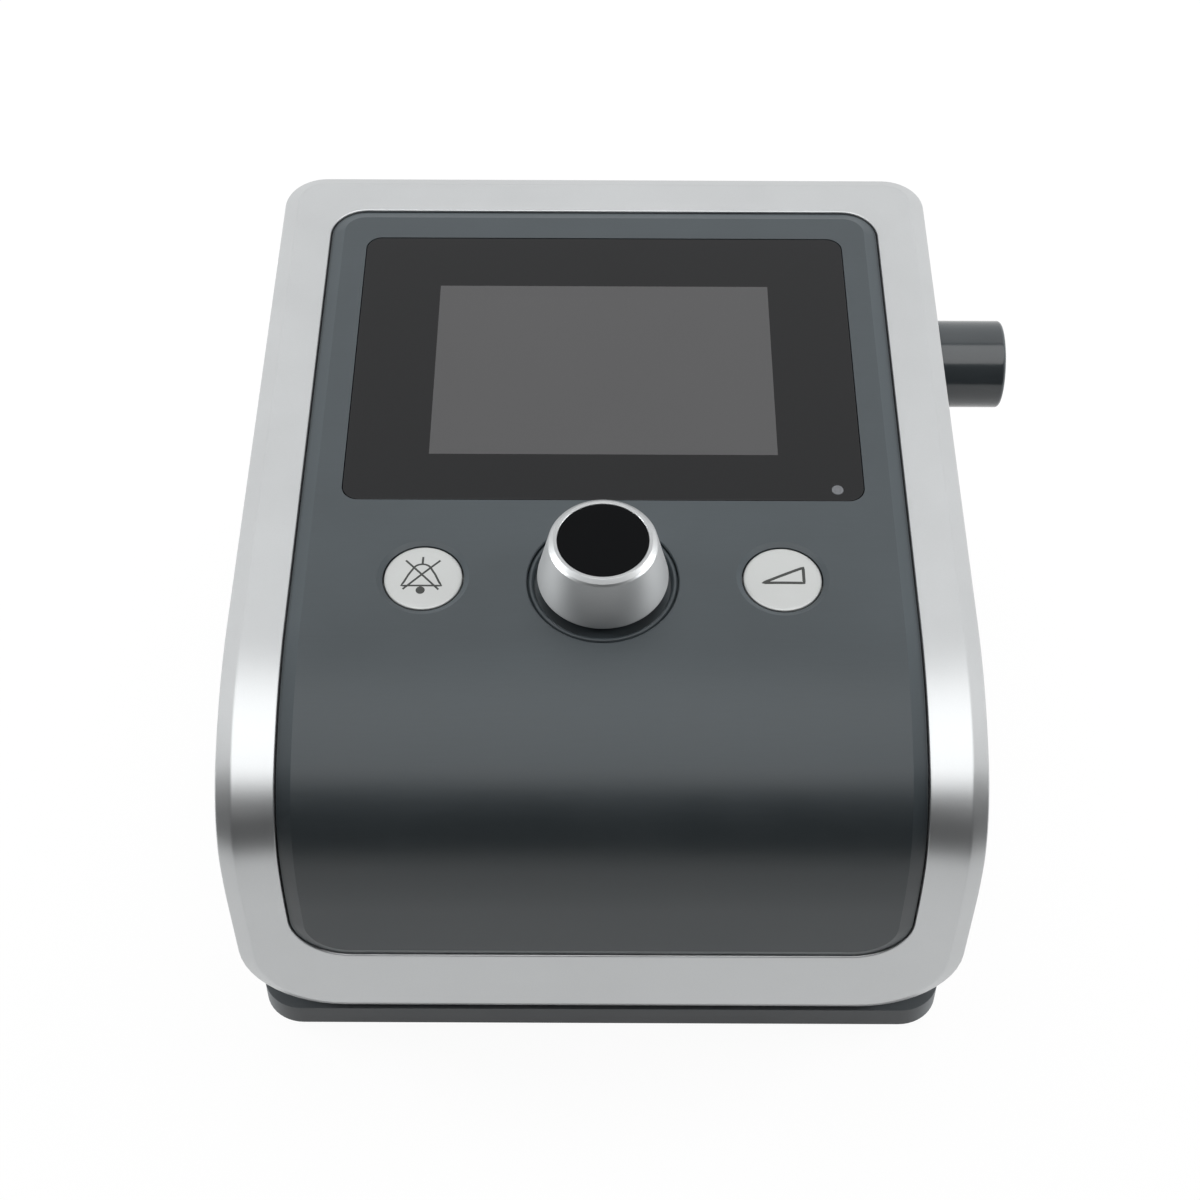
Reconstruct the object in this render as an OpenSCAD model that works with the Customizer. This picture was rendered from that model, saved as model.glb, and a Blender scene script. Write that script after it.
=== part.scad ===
// Bedside bilevel breathing machine: a dark case, a bent control face in a silver surround,
// a push-and-turn knob, two buttons, an air spigot on the right, and the blower inside.
// Millimetres. X is to the right, Y to the back, Z up. The origin is on the desk,
// in the middle of the left and right sides, halfway between the front wall and the rear.

/* [Body] */
// Width over the silver surround
body_w = 170; // [162:1:180]
// Depth from the front wall to the rear cover
body_d = 196; // [192:1:206]
// Height from the desk to the highest point of the surround
body_h = 118; // [114:1:126]
// Slope of the flat control face, in degrees
face_tilt = 7.8; // [6.6:0.2:9]
// Thickness of the outer plastic walls
wall = 2.4; // [2:0.1:2.8]
// How far the case stands back from the surround's side
case_inset = 2.4; // [2.2:0.1:2.8]
// Corner radius of the case at the front, seen from above
case_front_r = 4; // [3:0.5:6]
// Corner radius of the base at the front, seen from above
base_front_r = 10; // [6:0.5:12]
// Corner radius of the case at the rear, seen from above
case_rear_r = 16; // [12:0.5:20]
// Distance of the base's front from the front wall
base_setback = 2.6; // [2:0.1:5]
// How far the rear cover stands out behind the surround
rear_bulge = 3.2; // [2.6:0.1:4]
// Depth of the rear cover, from its seam to its rear wall
rear_cover_d = 10; // [8:0.5:12]

/* [Front bend] */
// Radius where the flat face starts to turn down
upper_bend_r = 78; // [70:1:86]
// Radius of the tight part of the bend
lower_bend_r = 29.5; // [26:0.5:32]
// Radius that eases the bend into the front wall
toe_bend_r = 100; // [80:5:120]
// Slope at which the upper bend ends, in degrees
upper_bend_end = 33; // [30:1:36]
// Slope at which the tight bend ends, in degrees
lower_bend_end = 84; // [80:1:87]
// How far the front wall leans back towards the desk, in degrees
wall_lean = 2; // [1:0.5:3]

/* [Surround] */
// Width of the silver band at the sides and the top
band_w = 13.2; // [12.4:0.2:14.6]
// Width of the silver band at the front's lower edge
front_band_w = 23; // [20:0.5:26]
// Width of the sloping outer facet
facet_w = 3.9; // [3:0.1:5]
// How far the facet drops to the outer edge
facet_drop = 1.8; // [1:0.1:2.2]
// How far the band dips towards the fascia
band_dip = 1; // [0.6:0.1:1.2]
// Depth of the surround's outer wall
surround_depth = 9.6; // [9.2:0.2:10.6]
// Thickness of the surround's outer wall
surround_wall = 2; // [1.6:0.1:2.1]
// Outer corner radius at the top
surround_top_r = 10.5; // [8:0.5:12]
// Outer corner radius at the front's lower edge
surround_front_r = 23; // [18:0.5:24]
// Height of the surround's lower edge above the desk
surround_lift = 7.8; // [7.4:0.2:9]

/* [Fascia] */
// Thickness of the fascia plate
fascia_t = 3.2; // [3:0.1:3.6]
// Gap between the fascia and the surround
fascia_gap = 0.35; // [0.25:0.05:0.6]
// Width of the fascia's edge chamfer
chamfer_w = 3.4; // [2.6:0.1:4]
// Drop of the fascia's edge chamfer
chamfer_drop = 1.5; // [1:0.1:1.8]
// Corner radius of the fascia's opening at the top
opening_top_r = 9; // [7:0.5:11]
// Corner radius of the fascia's opening at the front
opening_front_r = 13.5; // [10:0.5:16]

/* [Screen] */
// Width of the black glass
glass_w = 123.6; // [116:0.2:126]
// Thickness of the glass
glass_t = 1.6; // [1.2:0.1:1.8]
// Corner radius of the glass
glass_r = 4; // [2:0.5:6]
// Distance from the top of the face to the glass
glass_top = 24.7; // [22.5:0.1:26]
// Distance from the glass's lower edge to the middle of the knob
glass_to_knob = 23.8; // [22:0.2:28]
// Width of the lit window
window_w = 83.7; // [78:0.5:86]
// Distance from the glass's top edge to the lit window
window_top = 17.6; // [14:0.2:19]
// Distance from the lit window to the glass's lower edge
window_foot = 14.1; // [13:0.1:18]
// Thickness of the display panel
panel_t = 3.4; // [2.6:0.1:3.6]
// Diameter of the small sensor lens
lens_d = 2.9; // [2:0.1:3.4]
// Distance of the sensor lens from the glass's right edge
lens_from_side = 6.3; // [5:0.1:8]
// Distance of the sensor lens from the glass's lower edge
lens_from_edge = 3.4; // [2.6:0.1:5]

/* [Knob] */
// Distance of the knob and the buttons from the start of the bend
knob_to_bend = 11.46; // [9.6:0.02:13]
// Radius of the knob's foot
knob_foot_r = 15; // [13:0.1:15.4]
// Radius of the knob's top edge
knob_top_r = 12.4; // [11.4:0.1:12.6]
// Radius of the black cap in the knob's top
knob_cap_r = 10.3; // [8.6:0.1:10.4]
// Height of the knob above the face
knob_h = 15; // [13:0.1:17]
// Gap between the knob's foot and the face
knob_lift = 1.5; // [1:0.1:2.2]
// Radius of the well round the knob
knob_well_r = 17.4; // [16.8:0.1:18.4]
// Depth of the well round the knob
knob_well_depth = 1.9; // [1.7:0.1:2]
// Travel of the knob when pressed
knob_travel = 0.6; // [0.4:0.05:0.8]
// Diameter of the encoder's shaft
shaft_d = 6; // [5:0.1:6]

/* [Buttons] */
// Distance of each button from the middle
button_x = 41.2; // [38:0.1:44]
// How far up the slope the buttons are from the knob's middle
button_up = 0.8; // [0:0.1:1.6]
// Radius of a button
button_r = 9.05; // [8.4:0.05:9.6]
// How far a button stands out of the face, below zero where it lies deeper
button_rise = -0.4; // [-0.6:0.1:1.4]
// Travel of a button when pressed
button_travel = 0.8; // [0.5:0.05:0.9]
// Width of the bevel round a button's well
button_bevel = 1.3; // [0.6:0.1:1.4]
// Depth of the bevel round a button's well
button_bevel_d = 0.6; // [0.5:0.1:1]

/* [Air outlet] */
// Outer radius of the spigot
outlet_r = 11.3; // [11:0.05:11.5]
// Radius of the spigot's bore
outlet_bore_r = 9.5; // [8.8:0.1:9.8]
// How far the spigot stands out of the surround
outlet_reach = 18.9; // [16:0.1:21]
// Distance of the spigot's axis from the rear wall
outlet_back = 48; // [46:0.5:50]
// Gap between the spigot's root and the surround above it
outlet_clear = 0.6; // [0.4:0.1:2]

/* [Air inlet] */
// Width of the filter cover
filter_w = 58; // [50:1:62]
// Height of the filter cover
filter_h = 46; // [40:1:50]
// Height of the filter's middle above the desk
filter_z = 41; // [39:0.5:44]
// Thickness of the foam filter
filter_t = 7; // [5:0.5:8]
// Number of louvre slots
louvre_n = 7; // [5:1:8]
// Height of one louvre slot
louvre_gap = 2.6; // [1.6:0.1:3]

/* [Blower] */
// Outer radius of the blower's volute
volute_r = 34; // [32:0.5:35]
// Height of the volute
volute_h = 24; // [22:0.5:26]
// Wall of the volute
volute_wall = 2; // [1.6:0.1:2.2]
// Height of the volute's middle above the desk
volute_z = 48; // [46:0.5:50]
// Outer radius of the blower's nozzle
nozzle_r = 9.5; // [8.5:0.1:9.8]
// Radius of the impeller
impeller_r = 28; // [25:0.5:29]
// Number of impeller blades
blade_n = 9; // [7:1:11]
// Radius of the motor shaft
motor_shaft_r = 1.5; // [1.3:0.1:1.8]
// Running gap of the shaft in its bearings
bearing_gap = 0.03; // [0.02:0.01:0.06]

/* [Memory card] */
// Width of the card
card_w = 24; // [23:0.1:24.4]
// Length of the card
card_l = 32; // [30:0.1:33]
// Thickness of the card
card_t = 2.1; // [1.6:0.1:2.2]

/* [Rear ports] */
// Distance of the power inlet from the middle
power_x = 61; // [59:0.5:62]
// Height of the power inlet above the desk
power_z = 22.6; // [22:0.2:24]
// Radius of the power inlet's bore
power_bore_r = 2.75; // [2.6:0.05:3]
// Distance of the data port from the middle
data_x = 38; // [37:0.5:40]
// Width of the data port's flap
flap_w = 20; // [18:0.5:22]
// Height of the data port's flap
flap_h = 12; // [11:0.5:13]
// Thickness of the rubber flap
flap_t = 1.6; // [1.2:0.1:1.8]

/* [Feet] */
// Height of the rubber ring under the base
foot_h = 1.2; // [0.8:0.1:1.6]
// Width of the rubber ring
foot_w = 6; // [4:0.5:7]
// Distance of the rubber ring from the base's edge
foot_inset = 10; // [10:0.5:12]

/* [Hidden] */

$fn = 64;

// Clearances
fit_gap = 0.2;
run_gap = 0.3;
shell_gap = 0.5;
overlap = 0.5;
through = 200;

// Small sizes that several pieces share
board_t = 1.6;
screw_r = 1.5;
screw_hole_r = 1.6;
screw_head_r = 2.8;
screw_head_h = 2;
screw_end = 1;
boss_r = 4;

// The face's side profile. A distance s runs down the face from its top edge: a flat part,
// three arcs and the front wall. The slope turns from face_tilt to just past a right angle.
top_y = body_d / 2 - rear_bulge;
top_z = body_h + facet_w * sin(face_tilt);
wall_slope = 90 + wall_lean;
upper_dy = upper_bend_r * (sin(upper_bend_end) - sin(face_tilt));
lower_dy = lower_bend_r * (sin(lower_bend_end) - sin(upper_bend_end));
toe_dy = toe_bend_r * (1 - sin(lower_bend_end));
flat_len = (top_y + body_d / 2 - upper_dy - lower_dy - toe_dy) / cos(face_tilt);
s1 = flat_len;
controls_s = flat_len - knob_to_bend;
button_s = controls_s - button_up;
glass_h = controls_s - glass_to_knob - glass_top;
window_h = glass_h - window_top - window_foot;
s2 = s1 + upper_bend_r * (upper_bend_end - face_tilt) * PI / 180;
s3 = s2 + lower_bend_r * (lower_bend_end - upper_bend_end) * PI / 180;
s4 = s3 + toe_bend_r * (wall_slope - lower_bend_end) * PI / 180;

function slope(s) =
    s < s1 ? face_tilt :
    s < s2 ? face_tilt + (s - s1) / upper_bend_r * 180 / PI :
    s < s3 ? upper_bend_end + (s - s2) / lower_bend_r * 180 / PI :
    s < s4 ? lower_bend_end + (s - s3) / toe_bend_r * 180 / PI : wall_slope;

// The end of an arc that starts at [y, z] with slope a and turns to slope b
function arc_end(p, r, a, b) = [p[0] - r * (sin(b) - sin(a)), p[1] - r * (cos(a) - cos(b))];
function line_end(p, l, a) = [p[0] - l * cos(a), p[1] - l * sin(a)];

p0 = [top_y, top_z];
p1 = line_end(p0, flat_len, face_tilt);
p2 = arc_end(p1, upper_bend_r, face_tilt, upper_bend_end);
p3 = arc_end(p2, lower_bend_r, upper_bend_end, lower_bend_end);
p4 = arc_end(p3, toe_bend_r, lower_bend_end, wall_slope);

function path(s) =
    s < s1 ? line_end(p0, s, face_tilt) :
    s < s2 ? arc_end(p1, upper_bend_r, face_tilt, slope(s)) :
    s < s3 ? arc_end(p2, lower_bend_r, upper_bend_end, slope(s)) :
    s < s4 ? arc_end(p3, toe_bend_r, lower_bend_end, slope(s)) :
    line_end(p4, s - s4, wall_slope);

// A point [y, z] at distance s down the face and depth d under it
function side_point(s, d) = path(s) + d * [sin(slope(s)), -cos(slope(s))];

// The place s on the front wall at which depth d reaches height z
function wall_s(z, d) = s4 + (p4[1] - d * cos(wall_slope) - z) / sin(wall_slope);

// The height of the flat face's plane over y, at depth d
function plane_z(y, d) = top_z + (y - top_y) * tan(face_tilt) - d / cos(face_tilt);

upper_steps = 6;
lower_steps = 12;
toe_steps = 2;
bend_stations = concat(
    [for (k = [0 : upper_steps - 1]) s1 + (s2 - s1) * k / upper_steps],
    [for (k = [0 : lower_steps - 1]) s2 + (s3 - s2) * k / lower_steps],
    [for (k = [0 : toe_steps]) s3 + (s4 - s3) * k / toe_steps]
);

// The surround's outline and the fascia's opening, as rounded rectangles in x and s
surround_end = wall_s(surround_lift, facet_drop);
outer_ring = [body_w / 2, 0, surround_end, surround_top_r, surround_front_r];
opening_ring = [
    body_w / 2 - band_w, band_w, surround_end - front_band_w, opening_top_r, opening_front_r
];
corner_steps = 8;

// The points of a ring, grown outwards by g: [x, s], right half downwards, then left half up
function half_ring(ring, g) = let (
    hw = ring[0] + g, a = ring[1] - g, b = ring[2] + g, ra = ring[3] + g, rb = ring[4] + g
) concat(
    [for (k = [0 : corner_steps]) let (t = 90 * k / corner_steps)
        [hw - ra + ra * sin(t), a + ra - ra * cos(t)]],
    [for (s = bend_stations) [hw, s]],
    [for (k = [0 : corner_steps]) let (t = 90 * k / corner_steps)
        [hw - rb + rb * cos(t), b - rb + rb * sin(t)]]
);
function ring_points(ring, g) = let (h = half_ring(ring, g), n = len(h)) concat(
    h, [for (k = [n - 1 : -1 : 0]) [-h[k][0], h[k][1]]]
);
function bent(points, d) = [for (p = points) let (q = side_point(p[1], d)) [p[0], q[0], q[1]]];

// The side faces between loops of n points each, from loop to loop
function loop_faces(n, loops, closed) = [
    for (j = [0 : loops - (closed ? 1 : 2)]) for (i = [0 : n - 1])
        let (k = (i + 1) % n, m = (j + 1) % loops)
        for (f = [[j * n + i, m * n + k, j * n + k], [j * n + i, m * n + i, m * n + k]]) f
];

// Strips across a loop that mirrors left and right
function cap_faces(n, first, flip) = [
    for (i = [0 : n / 2 - 2])
        let (a = first + i, b = first + i + 1, c = first + n - 2 - i, d = first + n - 1 - i)
        for (f = flip ? [[a, c, b], [a, d, c]] : [[a, b, c], [a, c, d]]) f
];

// A closed frame swept round the face. Each section point is [ring, growth, depth].
module bent_frame(section) {
    loops = [for (p = section) bent(ring_points(p[0], p[1]), p[2])];
    n = len(loops[0]);
    polyhedron([for (l = loops) each l], loop_faces(n, len(loops), true));
}

// A plate bent with the face. Each edge point is [ring, growth, depth], from the front back.
module bent_plate(edge) {
    loops = [for (p = edge) bent(ring_points(p[0], p[1]), p[2])];
    n = len(loops[0]);
    last = (len(edge) - 1) * n;
    polyhedron(
        [for (l = loops) each l],
        concat(cap_faces(n, 0, false), loop_faces(n, len(loops), false), cap_faces(n, last, true))
    );
}

// Puts children on the flat face: +Z is out of the face, +Y up the slope
module on_face(x, s, d = 0) {
    q = side_point(s, d);
    translate([x, q[0], q[1]]) rotate([face_tilt, 0, 0]) children();
}

module rounded_rect(w, h, r) {
    square([w - 2 * r, h], center = true);
    square([w, h - 2 * r], center = true);
    for (x = [-1, 1], y = [-1, 1]) translate([x * (w / 2 - r), y * (h / 2 - r)]) circle(r);
}

module tube(r, bore, h) {
    difference() {
        cylinder(r = r, h = h);
        translate([0, 0, -overlap]) cylinder(r = bore, h = h + 2 * overlap);
    }
}

// A cylinder along +X or +Y from the given point
module along_x(p, r, l) translate(p) rotate([0, 90, 0]) cylinder(r = r, h = l);
module along_y(p, r, l) translate(p) rotate([-90, 0, 0]) cylinder(r = r, h = l);

module block(x0, x1, y0, y1, z0, z1) {
    translate([x0, y0, z0]) cube([x1 - x0, y1 - y0, z1 - z0]);
}

// Extrudes an outline in y and z from x0 to x1
module slab(x0, x1) translate([x0, 0, 0]) rotate([90, 0, 90]) linear_extrude(x1 - x0) children();

// The case seen from above: an outline from y0 to y1, with its own front and rear radii
module plan(hw, y0, y1, front_r, rear_r) {
    for (x = [-1, 1]) {
        translate([x * (hw - front_r), y0 + front_r]) circle(front_r);
        translate([x * (hw - rear_r), y1 - rear_r]) circle(rear_r);
    }
    polygon([
        [-hw + front_r, y0], [hw - front_r, y0], [hw, y0 + front_r], [hw, y1 - rear_r],
        [hw - rear_r, y1], [-hw + rear_r, y1], [-hw, y1 - rear_r], [-hw, y0 + front_r]
    ]);
}

// A soft lead or hose of radius r through the points; n is never along it
function unit(v) = v / norm(v);
function smooth(p) = concat(
    [p[0]],
    [for (i = [0 : len(p) - 2]) each [0.75 * p[i] + 0.25 * p[i + 1], 0.25 * p[i] + 0.75 * p[i + 1]]],
    [p[len(p) - 1]]
);
lead_sides = 8;
module lead(points, r, n) {
    p = smooth(smooth(points));
    last = len(p) - 1;
    rings = [for (i = [0 : last]) let (
        t = unit(p[min(i + 1, last)] - p[max(i - 1, 0)]), u = unit(cross(t, n)), v = cross(t, u)
    ) each [for (k = [0 : lead_sides - 1]) let (a = 360 * k / lead_sides)
        p[i] + r * (cos(a) * u + sin(a) * v)]];
    polyhedron(rings, concat(
        [[for (k = [0 : lead_sides - 1]) k]],
        loop_faces(lead_sides, last + 1, false),
        [[for (k = [lead_sides - 1 : -1 : 0]) last * lead_sides + k]]
    ));
}

// Outer limits of the case
case_hw = body_w / 2 - case_inset;
inner_hw = case_hw - wall;
rear_y = body_d / 2;
front_y = -body_d / 2;
outlet_y = rear_y - outlet_back;
inner_rear_y = rear_y - wall;
seam_y = rear_y - rear_cover_d;

// Depths under the face
flange_t = 2;
flange_reach = 3.2;
band_under = fascia_t + flange_t;
deck_reach = 4;
deck_under = band_under + wall;
case_front_d = surround_depth + run_gap;
case_inner_d = case_front_d + wall;
neck_inset = surround_wall + shell_gap;
neck_end_d = case_inner_d - run_gap;
board_d = 8.4;

// Heights
base_z = foot_h;
floor_z = base_z + wall;
seam_z = surround_lift - shell_gap;
tongue_h = 4;
boss_z = seam_z + tongue_h;
board_z = 10;
board_top = board_z + board_t;
cover_top = body_h - 22;
inner_front_y = side_point(wall_s(floor_z, case_inner_d), case_inner_d)[0];

// An outline under the face, back to y1 and down to z, with a rounded upper rear edge
edge_steps = 6;
run_in = 3;
shell_stations = concat(
    [s1 - run_in],
    [for (k = [0 : len(bend_stations) - 2]) (bend_stations[k] + bend_stations[k + 1]) / 2],
    [s4 + run_in]
);
module under_face(d, y1, z, r) {
    c = [y1 - r, plane_z(y1 - r, d) - r / cos(face_tilt)];
    polygon(concat(
        [for (k = [0 : edge_steps]) let (a = k / edge_steps * (90 + face_tilt)) c + r * [cos(a), sin(a)]],
        [for (s = shell_stations) side_point(s, d)],
        [side_point(wall_s(z, d), d), [y1, z]]
    ));
}

// Screws. The shank runs up from the origin and the head is below it.
module screw(l) {
    cylinder(r = screw_r, h = l);
    difference() {
        translate([0, 0, -screw_head_h]) cylinder(r = screw_head_r, h = screw_head_h);
        translate([0, 0, -screw_head_h - overlap]) cylinder(r = screw_r, h = screw_head_h, $fn = 6);
    }
}

// Base tray and rubber ring
tongue_t = 1.6;
foot_seat = 1.2;
case_screw_x = inner_hw - boss_r - fit_gap;
case_screw_front_y = inner_front_y + 3 * boss_r;
case_screw_rear_y = seam_y - 2.5 * boss_r;
case_screw_spots = [
    for (x = [-1, 1], y = [case_screw_front_y, case_screw_rear_y]) [x * case_screw_x, y]
];
case_screw_l = 20;
screw_sink = 0.6;
case_screw_z = base_z + screw_head_h + screw_sink;
label_w = 70;
label_d = 40;
label_sink = 0.4;
standoff_r = 3;

module base_outline(inset) {
    plan(
        case_hw - inset, front_y + base_setback + inset, rear_y - inset,
        max(base_front_r - inset, 1), max(case_rear_r - inset, 1)
    );
}

module tongue_outline(inset) {
    plan(
        inner_hw - fit_gap - inset, inner_front_y + fit_gap + inset,
        inner_rear_y - fit_gap - inset,
        max(case_front_r - wall - inset, 1), max(case_rear_r - wall - inset, 1)
    );
}

module foot_outline() {
    difference() {
        base_outline(foot_inset);
        base_outline(foot_inset + foot_w);
    }
}

module base_tray() color("#4f5355") difference() {
    union() {
        difference() {
            union() {
                translate([0, 0, base_z]) linear_extrude(seam_z - base_z) base_outline(0);
                translate([0, 0, floor_z]) linear_extrude(boss_z - floor_z) tongue_outline(0);
            }
            translate([0, 0, floor_z]) linear_extrude(through) tongue_outline(tongue_t);
        }
        for (p = case_screw_spots)
            translate([p[0], p[1], base_z]) cylinder(r = boss_r, h = boss_z - base_z);
        for (p = concat(main_board_spots, port_board_spots))
            translate([p[0], p[1], base_z + overlap])
                cylinder(r = standoff_r, h = board_z - base_z - overlap);
    }
    linear_extrude(base_z + foot_seat) foot_outline();
    translate([-label_w / 2, -label_d / 2, 0]) cube([label_w, label_d, base_z + label_sink]);
    for (p = case_screw_spots) translate([p[0], p[1], 0]) {
        cylinder(r = screw_hole_r, h = through);
        cylinder(r = screw_head_r + fit_gap, h = case_screw_z);
    }
    for (p = concat(main_board_spots, port_board_spots))
        translate([p[0], p[1], floor_z]) cylinder(r = screw_hole_r, h = through);
}

module foot_ring() color("#1d1e20") linear_extrude(base_z + foot_seat) foot_outline();

// Main case
case_top_r = 4;
post_top = 45;
vent_n = 5;
vent_w = 2.4;
vent_h = 18;
vent_pitch = 5;
speaker_y = outlet_y - boss_r;
speaker_z = post_top + 1;
speaker_r = 13;
speaker_t = 4;
cover_screw_x = case_hw - case_rear_r - boss_r;
cover_screw_z = cover_top - 2 * boss_r;
cover_screw_y = rear_y - screw_head_h - 2 * shell_gap;
cover_boss_l = 12;
cover_screw_l = 14;
rib_w = 4;

module case_shell() {
    difference() {
        intersection() {
            slab(-case_hw, case_hw) under_face(case_front_d, rear_y, seam_z, case_top_r);
            linear_extrude(through)
                plan(case_hw, front_y + case_front_d, rear_y, case_front_r, case_rear_r);
        }
        difference() {
            intersection() {
                slab(-inner_hw, inner_hw)
                    under_face(case_inner_d, inner_rear_y, seam_z - overlap, case_top_r - wall);
                linear_extrude(through) plan(
                    inner_hw, front_y + case_inner_d, inner_rear_y,
                    case_front_r - wall, case_rear_r - wall
                );
            }
            block(-through, through, seam_y, through, 0, cover_top + wall);
        }
        block(-through, through, seam_y, through, 0, cover_top);
        bent_plate([
            [outer_ring, -neck_inset - wall / 2, case_front_d - overlap],
            [outer_ring, -neck_inset - wall / 2, case_inner_d + overlap]
        ]);
    }
}

module case_neck() bent_frame([
    [outer_ring, -neck_inset, band_under],
    [outer_ring, -neck_inset, neck_end_d],
    [outer_ring, -neck_inset - wall, neck_end_d],
    [outer_ring, -neck_inset - wall, deck_under],
    [opening_ring, -deck_reach, deck_under],
    [opening_ring, -deck_reach, band_under]
]);

module main_case() color("#54585a") difference() {
    union() {
        case_shell();
        case_neck();
        for (p = case_screw_spots, side = [sign(p[0])]) {
            translate([p[0], p[1], boss_z]) cylinder(r = boss_r, h = post_top - boss_z);
            block(
                min(p[0], side * (inner_hw + overlap)), max(p[0], side * (inner_hw + overlap)),
                p[1] - boss_r / 2, p[1] + boss_r / 2, boss_z, post_top
            );
        }
        for (x = [-cover_screw_x, cover_screw_x]) {
            along_y([x, seam_y - cover_boss_l, cover_screw_z], boss_r, cover_boss_l);
            block(
                x - rib_w / 2, x + rib_w / 2, seam_y - 2 * rib_w, seam_y - overlap,
                cover_screw_z, plane_z(seam_y - rib_w, band_under + wall / 2)
            );
        }
        difference() {
            along_x([-inner_hw - overlap, speaker_y, speaker_z], speaker_r + wall, speaker_t + overlap);
            along_x([-inner_hw, speaker_y, speaker_z], speaker_r, through);
        }
    }
    for (p = case_screw_spots) translate([p[0], p[1], 0])
        cylinder(r = screw_hole_r, h = case_screw_z + case_screw_l + screw_end);
    for (x = [-cover_screw_x, cover_screw_x])
        along_y([x, cover_screw_y - cover_screw_l - screw_end, cover_screw_z], screw_hole_r, through);
    along_x([0, outlet_y, outlet_z], outlet_root_r + fit_gap, through);
    block(
        -through, -inner_hw + overlap, card_y - card_w / 2 - run_gap, card_y + card_w / 2 + run_gap,
        card_z - run_gap, card_z + card_t + run_gap
    );
    for (k = [0 : vent_n - 1]) translate([0, speaker_y + (k - (vent_n - 1) / 2) * vent_pitch, speaker_z])
        block(-through, -inner_hw, -vent_w / 2, vent_w / 2, -vent_h / 2, vent_h / 2);
}

module case_screws() color("#8c8f92") {
    for (p = case_screw_spots) translate([p[0], p[1], case_screw_z]) screw(case_screw_l);
    for (x = [-cover_screw_x, cover_screw_x])
        translate([x, cover_screw_y, cover_screw_z]) rotate([90, 0, 0]) screw(cover_screw_l);
}

module speaker() color("#202224") {
    along_x([-inner_hw, speaker_y, speaker_z], speaker_r - fit_gap, speaker_t);
    along_x([-inner_hw + speaker_t, speaker_y, speaker_z], speaker_r / 2, speaker_t);
}

// Rear cover
pocket_wall = 1.6;
filter_plate_t = 3;
pocket_depth = filter_plate_t + filter_t + 2;
pocket_y = rear_y - pocket_depth;
mouth_margin = 6;
flap_recess = flap_t + run_gap;
flap_margin = 3;
power_barrel_r = 5.4;
flap_pin_l = 1.2;
flap_pin_r = 0.6;
flap_pin_gap = 0.05;
flap_y = rear_y - flap_t / 2;
flap_z = power_z + flap_h / 2 - flap_t / 2;

module filter_box(grow, y0, y1) block(
    filter_x - filter_w / 2 - grow, filter_x + filter_w / 2 + grow, y0, y1,
    filter_z - filter_h / 2 - grow, filter_z + filter_h / 2 + grow
);

module rear_cover() color("#54585a") difference() {
    union() {
        intersection() {
            difference() {
                translate([0, 0, seam_z]) linear_extrude(cover_top - seam_z)
                    plan(case_hw, front_y, rear_y, case_front_r, case_rear_r);
                translate([0, 0, seam_z - overlap]) linear_extrude(cover_top - wall - seam_z + overlap)
                    plan(inner_hw, front_y, inner_rear_y, case_front_r, case_rear_r - wall);
            }
            block(-through, through, seam_y, through, 0, through);
        }
        filter_box(pocket_wall, pocket_y - wall, inner_rear_y + overlap);
        for (x = [-cover_screw_x, cover_screw_x])
            along_y([x, seam_y, cover_screw_z], boss_r, rear_cover_d - wall + overlap);
    }
    filter_box(0, pocket_y, through);
    filter_box(-mouth_margin, 0, through);
    for (x = [-cover_screw_x, cover_screw_x]) {
        along_y([x, 0, cover_screw_z], screw_hole_r, through);
        along_y([x, cover_screw_y, cover_screw_z], screw_head_r + fit_gap, through);
    }
    along_y([power_x, 0, power_z], power_barrel_r + fit_gap, through);
    block(
        data_x - flap_w / 2 - run_gap, data_x + flap_w / 2 + run_gap, rear_y - flap_recess, through,
        power_z - flap_h / 2 - run_gap, power_z + flap_h / 2 + run_gap
    );
    block(
        data_x - flap_w / 2 + flap_margin, data_x + flap_w / 2 - flap_margin, 0, through,
        power_z - flap_h / 2 + flap_margin, power_z + flap_h / 2 - flap_margin
    );
    along_x(
        [data_x - flap_w / 2 - flap_pin_l - run_gap, flap_y, flap_z],
        flap_pin_r + flap_pin_gap, flap_w + 2 * flap_pin_l + 2 * run_gap
    );
}

module port_flap() color("#26282a") {
    block(
        data_x - flap_w / 2, data_x + flap_w / 2, rear_y - flap_t, rear_y,
        power_z - flap_h / 2, flap_z
    );
    along_x([data_x - flap_w / 2, flap_y, flap_z], flap_t / 2, flap_w);
    along_x([data_x - flap_w / 2 - flap_pin_l, flap_y, flap_z], flap_pin_r, flap_w + 2 * flap_pin_l);
}

// Filter cover and filter
filter_gap = 0.3;
louvre_pitch = (filter_h - 2 * mouth_margin) / louvre_n;
clip_t = 1.6;

module filter_cover() color("#4a4e50") difference() {
    union() {
        filter_box(-filter_gap, rear_y - filter_plate_t, rear_y);
        difference() {
            filter_box(-filter_gap, pocket_y + 1, rear_y - filter_plate_t);
            filter_box(-filter_gap - clip_t, 0, through);
            block(
                -through, through, 0, rear_y - filter_plate_t - 1,
                filter_z - filter_h / 4, filter_z + filter_h / 4
            );
        }
    }
    for (k = [0 : louvre_n - 1]) translate([0, 0, (k - (louvre_n - 1) / 2) * louvre_pitch]) block(
        filter_x - filter_w / 2 + mouth_margin, filter_x + filter_w / 2 - mouth_margin,
        0, through, filter_z - louvre_gap / 2, filter_z + louvre_gap / 2
    );
}

module air_filter() color("#d9d8cf")
    filter_box(-filter_gap - clip_t, rear_y - filter_plate_t - filter_t, rear_y - filter_plate_t);

// Silver surround
lip_r = 0.4;

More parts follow.
